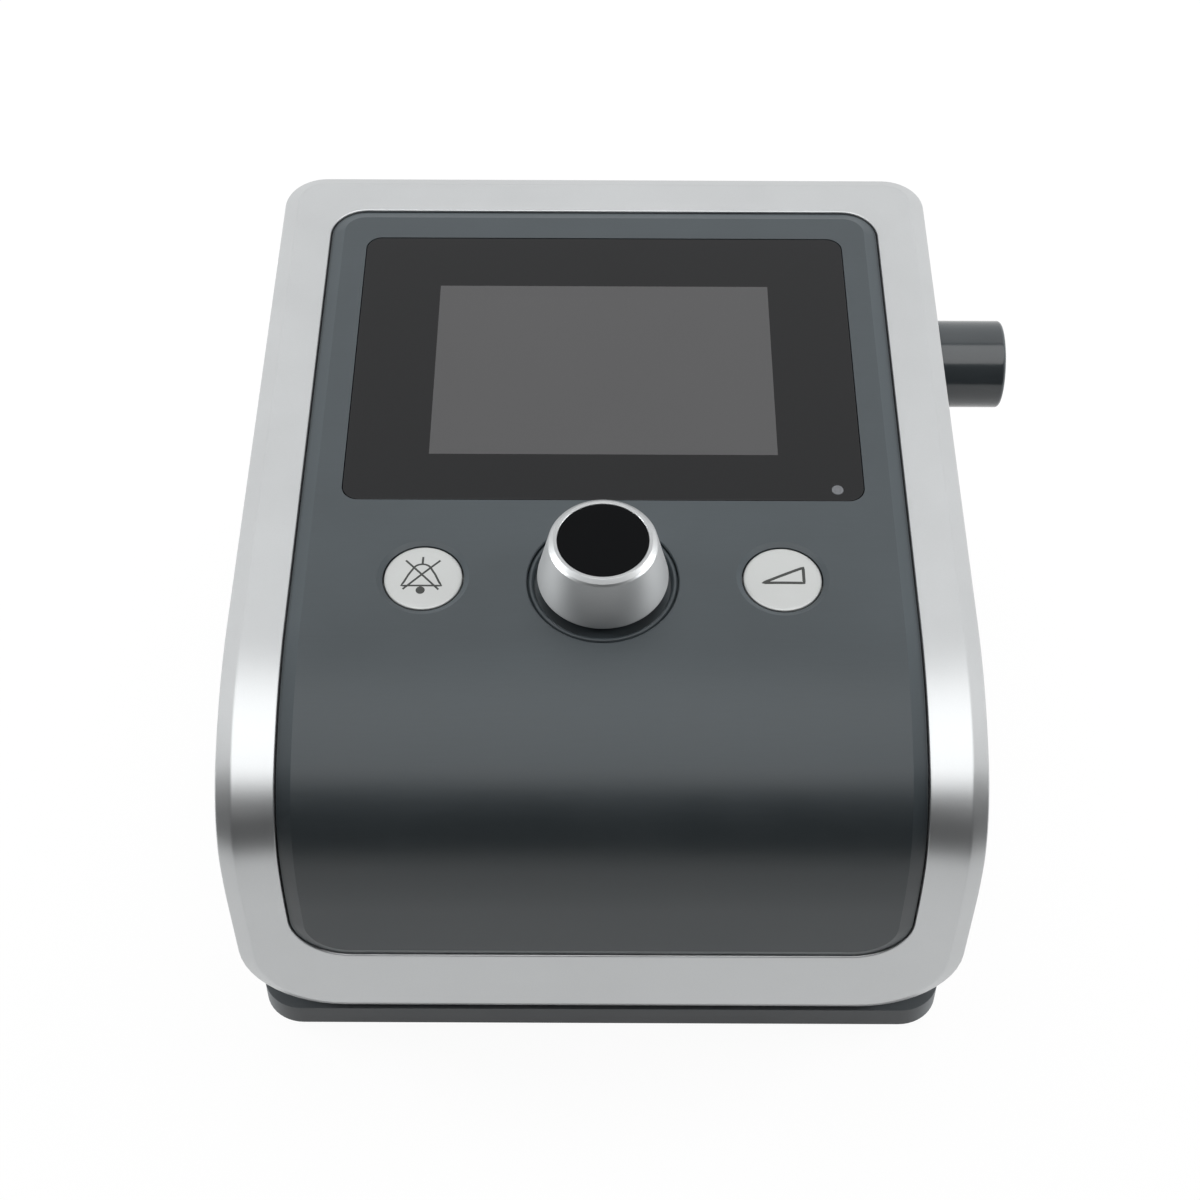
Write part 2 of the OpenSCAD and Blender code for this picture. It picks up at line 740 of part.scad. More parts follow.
module silver_surround() color("#d2d4d3") bent_frame([
    [opening_ring, 0, fascia_t],
    [opening_ring, 0, band_dip + lip_r],
    [opening_ring, lip_r, band_dip],
    [outer_ring, -facet_w, 0],
    [outer_ring, 0, facet_drop],
    [outer_ring, 0, surround_depth - lip_r],
    [outer_ring, -lip_r, surround_depth],
    [outer_ring, -surround_wall, surround_depth],
    [outer_ring, -surround_wall, band_under],
    [opening_ring, -flange_reach, band_under],
    [opening_ring, -flange_reach, fascia_t]
]);

// Fascia
glass_gap = 0.15;
glass_s = glass_top + glass_h / 2;
window_s = glass_top + window_top + window_h / 2;
lens_x = glass_w / 2 - lens_from_side;
lens_s = glass_top + glass_h - lens_from_edge;
lens_hole_r = 0.8;
bush_r = 4.9;
button_hole_r = button_r + run_gap;
board_hw = 62;
board_s0 = glass_top - 4.7;
board_s1 = controls_s + 10;
board_edge = 5;
board_screw_rows = [board_s0 + 6, glass_s + 9, glass_top + glass_h - 1];
board_screw_spots = [for (x = [-1, 1], s = board_screw_rows) [x * (board_hw - board_edge), s]];
board_screw_l = 5;
boss_root_d = 2;
hook_t = 1.6;
hook_w = 8;
hook_x = opening_ring[0] - deck_reach - run_gap;
hook_lip = 0.9;
hook_rows = [for (k = [0.27, 0.54, 0.81]) k * flat_len];

module front_fascia() color("#53585b") difference() {
    union() {
        bent_plate([
            [opening_ring, -fascia_gap - chamfer_w, 0],
            [opening_ring, -fascia_gap, chamfer_drop],
            [opening_ring, -fascia_gap, fascia_t]
        ]);
        for (p = board_screw_spots)
            on_face(p[0], p[1], board_d) cylinder(r = standoff_r, h = board_d - boss_root_d);
        for (x = [0, 1], s = hook_rows) mirror([x, 0, 0]) on_face(hook_x, s) {
            translate([-hook_t, -hook_w / 2, -deck_under - hook_t])
                cube([hook_t, hook_w, deck_under + hook_t - boss_root_d]);
            translate([-hook_t, -hook_w / 2, -deck_under - hook_t])
                cube([hook_t + run_gap + hook_lip, hook_w, hook_t]);
        }
    }
    on_face(0, glass_s, glass_t)
        linear_extrude(through) rounded_rect(glass_w + 2 * glass_gap, glass_h + 2 * glass_gap, glass_r);
    on_face(0, window_s, fascia_t + 1) linear_extrude(through) rounded_rect(window_w, window_h, 1);
    on_face(lens_x, lens_s, fascia_t + 1) cylinder(r = lens_hole_r, h = through);
    on_face(0, controls_s, knob_well_depth) cylinder(r = knob_well_r, h = through);
    on_face(0, controls_s, fascia_t + 1) cylinder(r = bush_r + fit_gap, h = through);
    for (x = [-button_x, button_x]) on_face(x, button_s) rotate_extrude() polygon([
        [0, -fascia_t - 1], [button_hole_r, -fascia_t - 1], [button_hole_r, -button_bevel_d],
        [button_hole_r + 2 * button_bevel, button_bevel_d], [0, button_bevel_d]
    ]);
    for (p = board_screw_spots)
        on_face(p[0], p[1], board_d + overlap)
            cylinder(r = screw_hole_r, h = overlap + board_screw_l - board_t + screw_end);
}

module screen_glass() color("#1b1c1e") difference() {
    on_face(0, glass_s, glass_t) linear_extrude(glass_t) rounded_rect(glass_w, glass_h, glass_r);
    on_face(lens_x, lens_s, glass_t + 1) cylinder(d = lens_d, h = through);
}

module sensor_lens() color("#0e0f10") on_face(lens_x, lens_s, glass_t) cylinder(d = lens_d, h = glass_t);

panel_margin = 3;
bracket_t = 0.8;
bracket_gap = 0.3;
bracket_ear = 5;
module display_panel() color("#6a6c6c") on_face(0, window_s, fascia_t + panel_t)
    linear_extrude(panel_t) square([window_w + 2 * panel_margin, window_h + 2 * panel_margin], center = true);

module display_bracket() color("#a9adb0") on_face(0, window_s, fascia_t + panel_t + bracket_t) {
    w = window_w + 2 * panel_margin + 2 * bracket_gap;
    h = window_h + panel_margin;
    difference() {
        linear_extrude(bracket_t) square([w + 2 * bracket_t, h], center = true);
        linear_extrude(through) square([w - 6 * boss_r, h - 6 * boss_r], center = true);
    }
    for (x = [0, 1]) mirror([x, 0, 0]) {
        translate([w / 2, -h / 2, 0]) cube([bracket_t, h, bracket_t + panel_t]);
        translate([w / 2, -h / 2, panel_t]) cube([bracket_t + bracket_ear, h, bracket_t]);
    }
}

// Control board, screws and switches
switch_w = 6.2;
switch_top = 6.2;
plunger_r = 1.75;
plunger_top = 5;
plunger_low = 7;
shaft_fit = 0.04;

module control_board() color("#1f5b3a") difference() {
    on_face(0, board_s0, board_d + board_t)
        translate([-board_hw, board_s0 - board_s1, 0]) cube([2 * board_hw, board_s1 - board_s0, board_t]);
    for (p = board_screw_spots)
        on_face(p[0], p[1], board_d + board_t + 1) cylinder(r = screw_hole_r, h = 2 * board_t + 1);
}

module control_board_screws() color("#8c8f92") for (p = board_screw_spots)
    on_face(p[0], p[1], board_d + board_t) screw(board_screw_l);

module tact_switches() color("#2b2d2f") for (x = [-button_x, button_x]) difference() {
    on_face(x, button_s, board_d)
        translate([-switch_w / 2, -switch_w / 2, 0]) cube([switch_w, switch_w, board_d - switch_top]);
    on_face(x, button_s, plunger_low + button_travel + fit_gap)
        cylinder(r = plunger_r + run_gap, h = through);
}

module plunger(x) color("#c9ccc8")
    on_face(x, button_s, plunger_low) cylinder(r = plunger_r, h = plunger_low - plunger_top);
module mute_plunger() plunger(-button_x);
module ramp_plunger() plunger(button_x);

// Buttons
button_flange_t = 0.9;
button_flange_w = 1.2;
button_edge = 0.4;
button_stem_r = plunger_r + 1;
module button(x) color("#d3d5d3") on_face(x, button_s) {
    top = button_rise;
    low = -fascia_t - run_gap;
    rotate_extrude() polygon([
        [0, -plunger_top], [button_stem_r, -plunger_top], [button_stem_r, low - button_flange_t],
        [button_r + button_flange_w, low - button_flange_t], [button_r + button_flange_w, low],
        [button_r, low],
        [button_r, top - button_edge], [button_r - button_edge, top], [0, top]
    ]);
}
module mute_button() button(-button_x);
module ramp_button() button(button_x);

// Knob and encoder
knob_clear = 0.4;
knob_edge = min(1, (knob_top_r - knob_cap_r) / 2);
knob_foot_rim = 0.45;
knob_skirt_t = 1.6;
knob_hub_r = 5.2;
bush_top = 1.6;
knob_hub_low = bush_top + knob_travel + 1.5 * knob_clear;
cap_t = 1.2;
cap_sink = 0.15;
ring_gap = 0.9;
ring_sink = 0.5;
housing_w = 13;
rotor_r = 5;
rotor_low = 7.4;
rotor_t = 1;
sleeve_t = 0.65;
nut_r = 6.6;
nut_t = 2;
housing_cavity_top = 5;
shaft_low = board_d - knob_travel - 4.5 * knob_clear;
shaft_top = knob_h - cap_t - cap_sink - 2;

module knob_shell() color("#cfd1cf") on_face(0, controls_s) rotate_extrude() polygon([
    [knob_foot_r, knob_lift], [knob_foot_r, knob_lift + knob_foot_rim], [knob_top_r, knob_h - knob_edge],
    [knob_top_r - knob_edge, knob_h],
    [knob_cap_r, knob_h], [knob_cap_r, knob_h - cap_t - cap_sink], [0, knob_h - cap_t - cap_sink],
    [0, shaft_top], [shaft_d / 2, shaft_top], [shaft_d / 2, knob_hub_low],
    [knob_hub_r, knob_hub_low], [knob_hub_r, knob_h - cap_t - 2 * knob_skirt_t],
    [knob_top_r - knob_skirt_t - knob_edge, knob_h - cap_t - 2 * knob_skirt_t],
    [knob_foot_r - knob_skirt_t, knob_lift]
]);

module knob_cap() color("#141518")
    on_face(0, controls_s, cap_t + cap_sink - knob_h) cylinder(r = knob_cap_r, h = cap_t);

module knob_well_ring() color("#3a3e41") on_face(0, controls_s, knob_well_depth)
    tube(knob_well_r - fit_gap / 2, knob_foot_r + ring_gap, knob_well_depth - ring_sink);

module encoder_housing() color("#3d4043") on_face(0, controls_s) difference() {
    translate([-housing_w / 2, -housing_w / 2, -board_d])
        cube([housing_w, housing_w, board_d - fascia_t]);
    translate([0, 0, -rotor_low - run_gap])
        cylinder(r = rotor_r + run_gap, h = rotor_low + run_gap - housing_cavity_top);
    translate([0, 0, -rotor_low]) cylinder(r = shaft_d / 2 + sleeve_t + run_gap, h = through);
}

module encoder_bush() color("#b9a25c") on_face(0, controls_s) difference() {
    union() {
        translate([0, 0, -fascia_t]) cylinder(r = bush_r, h = fascia_t + bush_top);
        translate([0, 0, -knob_well_depth]) cylinder(r = nut_r, h = nut_t, $fn = 6);
    }
    translate([0, 0, -through / 2]) cylinder(r = shaft_d / 2 + sleeve_t + 2 * shaft_fit, h = through);
}

module encoder_rotor() color("#d8d6cc") on_face(0, controls_s) difference() {
    union() {
        translate([0, 0, -rotor_low]) cylinder(r = rotor_r, h = rotor_t);
        translate([0, 0, -rotor_low])
            cylinder(r = shaft_d / 2 + sleeve_t + shaft_fit, h = rotor_low + bush_top);
    }
    translate([0, 0, -through / 2]) cylinder(r = shaft_d / 2 + shaft_fit, h = through);
}

module encoder_shaft() color("#9a9da0")
    on_face(0, controls_s, shaft_low) cylinder(d = shaft_d, h = shaft_low + shaft_top);

// Air outlet, seal and outlet chamber
chamber_w = 28;
chamber_d = 30;
chamber_low = 34;
chamber_wall = 2;
chamber_x1 = inner_hw - 6;
chamber_x0 = chamber_x1 - chamber_w;
outlet_root = 0.5;
outlet_root_r = outlet_r + outlet_root;
outlet_root_x = body_w / 2 + outlet_root;
outlet_drop = surround_depth + outlet_root_r + outlet_clear;
chamber_top_d = board_d + board_t + run_gap;
outlet_z = plane_z(outlet_y, outlet_drop);
outlet_end = body_w / 2 + outlet_reach;
outlet_flange = 2;
seal_t = 1.8;
seal_x = min(inner_hw, body_w / 2 - neck_inset - wall) - seal_t;
tip_r = 0.8;
tip_steps = 4;
mouth_edge = 0.4;

module air_outlet() color("#3f4346") translate([0, outlet_y, outlet_z]) rotate([0, 90, 0])
    rotate_extrude() polygon(concat(
        [[outlet_bore_r, chamber_x1], [outlet_root_r, chamber_x1]],
        [[outlet_root_r, seal_x - outlet_flange], [outlet_r + outlet_flange, seal_x - outlet_flange]],
        [[outlet_r + outlet_flange, seal_x], [outlet_root_r, seal_x]],
        [[outlet_root_r, outlet_root_x - outlet_root], [outlet_r, outlet_root_x]],
        [for (k = [0 : tip_steps]) let (a = 90 * k / tip_steps)
            [outlet_r - tip_r + tip_r * cos(a), outlet_end - tip_r + tip_r * sin(a)]],
        [[outlet_bore_r + mouth_edge, outlet_end], [outlet_bore_r, outlet_end - mouth_edge]]
    ));

module outlet_seal() color("#202122") translate([seal_x, outlet_y, outlet_z]) rotate([0, 90, 0])
    tube(outlet_r + outlet_flange, outlet_root_r, seal_t);

module chamber_side(inset) {
    y0 = outlet_y - chamber_d / 2 + inset;
    y1 = outlet_y + chamber_d / 2 - inset;
    polygon([
        [y0, chamber_low + inset], [y1, chamber_low + inset],
        [y1, plane_z(y1, chamber_top_d) - inset], [y0, plane_z(y0, chamber_top_d) - inset]
    ]);
}

module outlet_chamber() color("#8d9194") {
    difference() {
        slab(chamber_x0, chamber_x1) chamber_side(0);
        slab(chamber_x0 + chamber_wall, chamber_x1 - chamber_wall) chamber_side(chamber_wall);
        along_x([chamber_x0 - 1, outlet_y, volute_z], nozzle_r + fit_gap, chamber_wall + 2);
        along_x(
            [chamber_x1 - chamber_wall - fit_gap, outlet_y, outlet_z],
            outlet_bore_r + fit_gap, chamber_wall + 2 * fit_gap
        );
    }
    for (x = [chamber_x0 + boss_r, chamber_x1 - boss_r]) translate([x, outlet_y, floor_z])
        cylinder(r = boss_r, h = chamber_low - floor_z);
}

// Flow sensor and its hose
sensor_w = 12;
sensor_d = 8;
sensor_h = 14;
sensor_x = chamber_x0 + chamber_w / 2;
sensor_y = outlet_y - chamber_d / 2;
sensor_rise = 28;
sensor_z = chamber_low + sensor_rise;
hose_r = 1.6;
hose_low = chamber_low + 2 * boss_r;
hose_bend = 7;
hose_z = sensor_z + sensor_h / 3.5;
module flow_sensor() color("#2e3436") block(
    sensor_x - sensor_w / 2, sensor_x + sensor_w / 2, sensor_y - sensor_d, sensor_y,
    sensor_z, sensor_z + sensor_h
);

module pressure_hose() color("#b9bcc0") lead([
    [sensor_x, sensor_y - sensor_d, hose_z], [sensor_x, sensor_y - sensor_d - hose_bend, hose_z],
    [sensor_x, sensor_y - sensor_d - hose_bend, hose_low], [sensor_x, sensor_y, hose_low]
], hose_r, [1, 0, 0]);

// Sound box, with the blower in it
foam_t = 5;
box_wall = 2;
lid_t = 2.4;
grommet_t = 2.2;
blower_room = 4;
box_half = volute_r + blower_room + foam_t + box_wall;
nozzle_off = volute_r - nozzle_r;
mount_r = 5;
box_x1 = chamber_x0 - grommet_t;
blower_x = box_x1 - box_half;
blower_y = outlet_y - nozzle_off;
box_y0 = blower_y - box_half;
box_y1 = blower_y + box_half;
volute_low = volute_z - volute_h / 2;
volute_top = volute_z + volute_h / 2;
box_air = 14;
box_top = volute_top + box_air;
filter_off = 11;
filter_x = blower_x - filter_off;
lead_r = 1.4;
lead_rise = 9;
lead_z = floor_z + box_wall + lead_rise;
lead_hole_r = 3;
mount_out = volute_r - mount_r;
mount_spots = [[-mount_out, -mount_out], [mount_out, -mount_out], [-mount_out, mount_out]];
mount_h = 8;
ear_t = 3;

module box_block(inset, z0, z1) block(
    blower_x - box_half + inset, box_x1 - inset, box_y0 + inset, box_y1 - inset, z0, z1
);

module box_openings(grow) {
    block(
        filter_x - filter_w / 2 + mouth_margin, filter_x + filter_w / 2 - mouth_margin,
        blower_y, through, filter_z - filter_h / 2 + mouth_margin, filter_z + filter_h / 2 - mouth_margin
    );
    along_x([blower_x, outlet_y, volute_z], nozzle_r + grommet_t + grow, through);
    along_y([blower_x, -through, lead_z], lead_hole_r, blower_y + through);
}

module sound_box() color("#777c7f") {
    difference() {
        box_block(0, floor_z, box_top);
        box_block(box_wall, floor_z + box_wall, through);
        box_openings(0);
    }
    for (p = mount_spots) translate([blower_x + p[0], blower_y + p[1], floor_z + 1])
        cylinder(r = boss_r, h = volute_low - floor_z - 1);
}

module sound_box_lid() color("#6b7073") {
    box_block(0, box_top, box_top + lid_t);
    difference() {
        box_block(box_wall + fit_gap, box_top - lid_t, box_top + 1);
        box_block(2 * box_wall + fit_gap, 0, box_top);
    }
}

module acoustic_foam() color("#3c3d3f") difference() {
    box_block(box_wall, floor_z + box_wall, box_top - foam_t);
    box_block(box_wall + foam_t, 0, through);
    box_openings(grommet_t);
}

module inlet_duct() color("#6b7073") difference() {
    filter_box(-mouth_margin + pocket_wall, box_y1, pocket_y - wall);
    filter_box(-mouth_margin, 0, through);
}

// Blower
eye_r = 12;
eye_rim = 2;
eye_rise = 3;
cup_r = 17;
cup_h = 18;
cup_wall = 2;
cup_low = volute_low - cup_h;
bearing_r = 4;
bearing_h = 3;
bearing_seat = 1;
bearing_wall = 1.6;
nozzle_wall = 1.5;
ear_narrow = 1;
nozzle_l = chamber_x0 + chamber_wall - blower_x;

module at_blower(z = 0) translate([blower_x, blower_y, z]) children();

module volute_half(z0, z1) {
    translate([0, 0, z0]) cylinder(r = volute_r, h = z1 - z0);
    intersection() {
        along_x([0, nozzle_off, volute_z], nozzle_r, nozzle_l);
        block(0, nozzle_l, 0, through, z0, z1);
    }
}

module volute_hollow() {
    translate([0, 0, volute_low + volute_wall])
        cylinder(r = volute_r - volute_wall, h = volute_h - 2 * volute_wall);
    along_x([0, nozzle_off, volute_z], nozzle_r - nozzle_wall, nozzle_l + overlap);
}

module lower_volute() color("#dcdedb") at_blower() difference() {
    union() {
        volute_half(volute_low, volute_z);
        translate([0, 0, cup_low]) cylinder(r = cup_r, h = cup_h + overlap);
        for (p = mount_spots) {
            translate([p[0], p[1], volute_low + mount_h]) cylinder(r = mount_r, h = ear_t);
            translate([0, 0, volute_low + mount_h]) rotate([0, 0, atan2(p[1], p[0])])
                block(volute_r - 1, norm(p), ear_narrow - mount_r, mount_r - ear_narrow, 0, ear_t);
        }
    }
    volute_hollow();
    translate([0, 0, cup_low + cup_wall]) difference() {
        cylinder(r = cup_r - cup_wall, h = cup_h - cup_wall);
        cylinder(r = bearing_r + bearing_wall, h = bearing_h - bearing_seat);
        translate([0, 0, cup_h - bearing_h]) cylinder(r = bearing_r + bearing_wall, h = bearing_h);
    }
    translate([0, 0, cup_low + bearing_seat]) cylinder(r = bearing_r, h = cup_h);
    translate([0, 0, volute_low - overlap]) cylinder(r = motor_shaft_r + 1, h = volute_h);
}

module upper_volute() color("#dcdedb") at_blower() difference() {
    union() {
        volute_half(volute_z, volute_top);
        translate([0, 0, volute_top - overlap]) cylinder(r = eye_r + eye_rim, h = eye_rise + overlap);
    }
    volute_hollow();
    translate([0, 0, volute_z]) cylinder(r = eye_r, h = through);
}

impeller_z = volute_low + 2 * volute_wall;
disc_t = 2;
hub_r = 6;
blade_h = 11;
blade_t = 1.2;
blade_lean = 28;
blade_tip = 2.5;
module impeller() color("#eceeea") at_blower(impeller_z) difference() {
    union() {
        cylinder(r = impeller_r, h = disc_t);
        cylinder(r = hub_r, h = blade_h + disc_t);
        for (k = [0 : blade_n - 1]) rotate([0, 0, 360 * k / blade_n]) translate([hub_r, 0, disc_t / 2])
            rotate([0, 0, -blade_lean]) translate([-1, -blade_t / 2, 0])
                cube([impeller_r - hub_r - blade_tip, blade_t, blade_h]);
    }
    translate([0, 0, -1]) cylinder(r = motor_shaft_r, h = through);
}

shaft_z = cup_low + bearing_seat + fit_gap;
module motor_shaft() color("#b4b7ba")
    at_blower(shaft_z) cylinder(r = motor_shaft_r, h = impeller_z + blade_h + 1.5 * disc_t - shaft_z);

magnet_r = 7;
magnet_h = 8;
magnet_z = cup_low + (cup_h - magnet_h) / 2 + overlap;
magnet_gap = 0.6;
slot_w = 3;
module rotor_magnet() color("#55585b") at_blower(magnet_z) tube(magnet_r, motor_shaft_r, magnet_h);

module motor_stator() color("#a8652f") at_blower(magnet_z) difference() {
    cylinder(r = cup_r - cup_wall, h = magnet_h);
    translate([0, 0, -1]) cylinder(r = magnet_r + magnet_gap, h = through);
    for (k = [0 : 5]) rotate([0, 0, 60 * k])
        block(magnet_r + slot_w - 1, magnet_r + 2 * slot_w - 1, -slot_w / 2, slot_w / 2, -1, through);
}

module motor_bearings() color("#c3c6c9") at_blower() {
    translate([0, 0, cup_low + bearing_seat]) tube(bearing_r, motor_shaft_r + bearing_gap, bearing_h);
    translate([0, 0, volute_low - bearing_h]) tube(bearing_r, motor_shaft_r + bearing_gap, bearing_h);
}

plug_w = 6;
plug_edge = 0.6;
plug_y = plug_w - cup_r + 1;
module motor_board() color("#1f5b3a") at_blower() {
    translate([0, 0, cup_low - board_t]) cylinder(r = cup_r - 1, h = board_t);
    block(
        -plug_w / 2, plug_w / 2, plug_y, plug_y + plug_w, lead_z - lead_r - plug_edge, cup_low - board_t
    );
}

mount_neck = 1.2;
module blower_mounts() color("#2a2b2c") for (p = mount_spots) at_blower(volute_low)
    translate([p[0], p[1], 0]) {
        cylinder(r = mount_r, h = mount_h / 4);
        cylinder(r = mount_r - mount_neck, h = mount_h);
        translate([0, 0, 3 * mount_h / 4]) cylinder(r = mount_r, h = mount_h / 4);
    }

module nozzle_grommet() color("#2a2b2c") translate([0, outlet_y, volute_z]) rotate([0, 90, 0]) {
    translate([0, 0, box_x1 - box_wall - grommet_t]) tube(nozzle_r + 2 * grommet_t, nozzle_r, grommet_t);
    translate([0, 0, box_x1 - box_wall]) tube(nozzle_r + grommet_t, nozzle_r, box_wall);
    translate([0, 0, box_x1]) tube(nozzle_r + 2 * grommet_t, nozzle_r, grommet_t);
}

// Main board and what it carries. Places on the board are shares of its half width and its depth.
main_hw = inner_hw - 9;
main_y0 = inner_front_y + boss_r;
main_y1 = box_y0 - 3;
main_edge = 5;
function main_spot(x, y) = [x * main_hw, main_y0 + y * (main_y1 - main_y0)];
card_gap = 1;
card_y = case_screw_front_y + boss_r + card_w / 2 + card_gap;
card_z = board_top + 1.2;
card_x0 = -case_hw + overlap;
card_corner = 6;
socket_l = 20;
socket_wall = 1.6;
socket_x1 = card_x0 + card_l + socket_wall;
main_board_spots = [
    [socket_x1 + card_gap + screw_head_r, main_y1 - main_edge], [main_hw - main_edge, main_y1 - main_edge],
    [0.83 * main_hw, main_y0 + main_edge], [-0.28 * main_hw, main_y0 + main_edge]
];
mainboard_screw_l = 5;

module on_main(x, y) {
    p = main_spot(x, y);
    translate([p[0], p[1], board_top]) children();
}

module main_board() color("#1f5b3a") difference() {
    block(-main_hw, main_hw, main_y0, main_y1, board_z, board_top);
    for (p = main_board_spots) translate([p[0], p[1], 0]) cylinder(r = screw_hole_r, h = through);
}

module board_screws() color("#8c8f92") {
    for (p = concat(main_board_spots, port_board_spots))
        translate([p[0], p[1], board_top]) rotate([180, 0, 0]) screw(mainboard_screw_l);
}

chip_w = 14;
chip_t = 1.4;
small_chip_w = 8;
module chip(w, t) translate([-w / 2, -w / 2, 0]) cube([w, w, t]);
module main_chip() color("#1c1d1f") {
    on_main(0.21, 0.61) chip(chip_w, chip_t);
    on_main(-0.06, 0.57) chip(small_chip_w, chip_t);
}

capacitor_r = 5;
capacitor_h = 16;
small_capacitor_r = 4;
small_capacitor_h = 12;
module capacitors() color("#30343a") {
    for (x = [0.48, 0.65]) on_main(x, 0.17) cylinder(r = capacitor_r, h = capacitor_h);
    on_main(0.31, 0.17) cylinder(r = small_capacitor_r, h = small_capacitor_h);
}

sink_w = 26;
sink_fins = 7;
fin_t = 2;
fin_h = 14;
sink_base = 3;
module heat_sink() color("#9ea2a5") {
    p = main_spot(0.51, 0.38);
    q = main_spot(0.51, 0.69);
    pitch = (sink_w - fin_t) / (sink_fins - 1);
    block(p[0], p[0] + sink_w, p[1], q[1], board_top, board_top + sink_base);
    for (k = [0 : sink_fins - 1]) block(
        p[0] + k * pitch, p[0] + k * pitch + fin_t, p[1], q[1],
        board_top + sink_base - overlap, board_top + sink_base + fin_h
    );
}

cell_r = 10;
cell_t = 3.2;
clip_w = 6;
clip_over = 1.5;
module backup_cell() color("#c6c9cb") on_main(-0.39, 0.7) {
    cylinder(r = cell_r, h = cell_t);
    block(-cell_r - clip_over, cell_r + clip_over, -clip_w / 2, clip_w / 2, 0, cell_t + clip_over / 2);
}

module card_socket() color("#b3b6b8") difference() {
    block(
        card_x0 + card_l - socket_l, socket_x1,
        card_y - card_w / 2 - socket_wall, card_y + card_w / 2 + socket_wall,
        board_top, card_z + card_t + run_gap + socket_wall / 2
    );
    block(
        -through, card_x0 + card_l + run_gap, card_y - card_w / 2 - run_gap, card_y + card_w / 2 + run_gap,
        card_z - run_gap, card_z + card_t + run_gap
    );
}

module memory_card() color("#2b3f66") difference() {
    block(card_x0, card_x0 + card_l, card_y - card_w / 2, card_y + card_w / 2, card_z, card_z + card_t);
    translate([card_x0 + card_l, card_y + card_w / 2, 0]) rotate([0, 0, 45])
        cube([card_corner, card_corner, through], center = true);
}

// Rear ports
port_x0 = data_x - 16;
port_x1 = inner_hw - 13;
port_y0 = box_y1 + 1.5;
port_y1 = inner_rear_y - 2;
port_edge = 5;
port_board_spots = [
    [port_x0 + port_edge, port_y0 + port_edge], [(data_x + power_x) / 2, port_y0 + port_edge]
];
jack_w = 9;
jack_l = 13.6;
jack_y1 = inner_rear_y;
jack_y0 = jack_y1 - jack_l;
jack_back = 3;
pin_r = 0.8;
data_w = 16;
shell_t = 1;

module port_board() color("#1f5b3a") difference() {
    block(port_x0, port_x1, port_y0, port_y1, board_z, board_top);
    for (p = port_board_spots) translate([p[0], p[1], 0]) cylinder(r = screw_hole_r, h = through);
}

module power_inlet() color("#25272a") {
    difference() {
        union() {
            block(
                power_x - jack_w / 2, power_x + jack_w / 2, jack_y0, jack_y1,
                board_top, power_z + jack_w / 2
            );
            along_y([power_x, jack_y1 - overlap, power_z], power_barrel_r, rear_y - jack_y1);
        }
        along_y([power_x, jack_y0 + jack_back, power_z], power_bore_r, through);
    }
    along_y([power_x, jack_y0 + jack_back - overlap, power_z], pin_r, rear_y - jack_y0 - 2 * jack_back);
}

module data_port() color("#b3b6b8") difference() {
    block(data_x - data_w / 2, data_x + data_w / 2, jack_y0, jack_y1, board_top, power_z + flap_h / 2);
    block(
        data_x - flap_w / 2 + flap_margin + shell_t, data_x + flap_w / 2 - flap_margin - shell_t,
        jack_y0 + jack_back, through, power_z - flap_h / 2 + flap_margin, power_z + flap_h / 2 - flap_margin
    );
}

// Leads: blower, control board, speaker and rear ports, all to the main board
ribbon_s = controls_s - 4;
ribbon_x = 24;
ribbon_drop = 12;
lead_in = 8;
speaker_lead_x = -inner_hw + 18;
speaker_lead_z = board_top + 10;
module internal_leads() color("#8a2f2a") {
    lead([
        [blower_x, blower_y + plug_y, lead_z], [blower_x, box_y0, lead_z],
        [blower_x, main_y1 - lead_in, lead_z], [blower_x, main_y1 - lead_in, board_top]
    ], lead_r, [1, 0, 0]);
    q0 = side_point(ribbon_s, board_d + board_t);
    q1 = side_point(ribbon_s, board_d + board_t + ribbon_drop);
    lead([
        [ribbon_x, q0[0], q0[1]], [ribbon_x, q1[0], q1[1]],
        [ribbon_x, main_y1 - lead_in, board_top + 2.4 * ribbon_drop], [ribbon_x, main_y1 - lead_in, board_top]
    ], lead_r, [1, 0, 0]);
    lead([
        [-inner_hw + 2 * speaker_t, speaker_y, speaker_z], [speaker_lead_x - 2, speaker_y, speaker_z],
        [speaker_lead_x, speaker_y - speaker_r - lead_in, speaker_lead_z],
        [speaker_lead_x, main_y1 - lead_in, speaker_lead_z], [speaker_lead_x, main_y1 - lead_in, board_top]
    ], lead_r, [1, -1, 1]);
    lead([
        [sensor_x, port_y0, board_z + board_t / 2],
        [sensor_x, (port_y0 + main_y1) / 2, board_z + board_t / 2],
        [sensor_x, main_y1, board_z + board_t / 2]
    ], board_t / 2, [1, 0, 0]);
}

base_tray();
foot_ring();
main_case();
rear_cover();
case_screws();
speaker();
silver_surround();
front_fascia();
screen_glass();
display_panel();
display_bracket();
sensor_lens();
knob_shell();
knob_cap();
knob_well_ring();
mute_button();
ramp_button();
control_board();
control_board_screws();
encoder_housing();
encoder_bush();
encoder_rotor();
encoder_shaft();
tact_switches();
mute_plunger();
ramp_plunger();
air_outlet();
outlet_seal();
outlet_chamber();
flow_sensor();
pressure_hose();
filter_cover();
air_filter();
inlet_duct();
sound_box();
sound_box_lid();
acoustic_foam();
lower_volute();
upper_volute();
impeller();
motor_shaft();
rotor_magnet();
motor_stator();
motor_bearings();
motor_board();
blower_mounts();
nozzle_grommet();
main_board();
board_screws();
main_chip();
capacitors();
heat_sink();
backup_cell();
card_socket();
memory_card();
port_board();
power_inlet();
data_port();
port_flap();
internal_leads();
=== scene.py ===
"""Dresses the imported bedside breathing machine: smooth trim, screen, knob, buttons, spigot and finishes.
Lengths are in metres. X is to the right, Y to the back, Z up, as in the frame."""

from math import atan2, cos, pi, radians, sin, tan

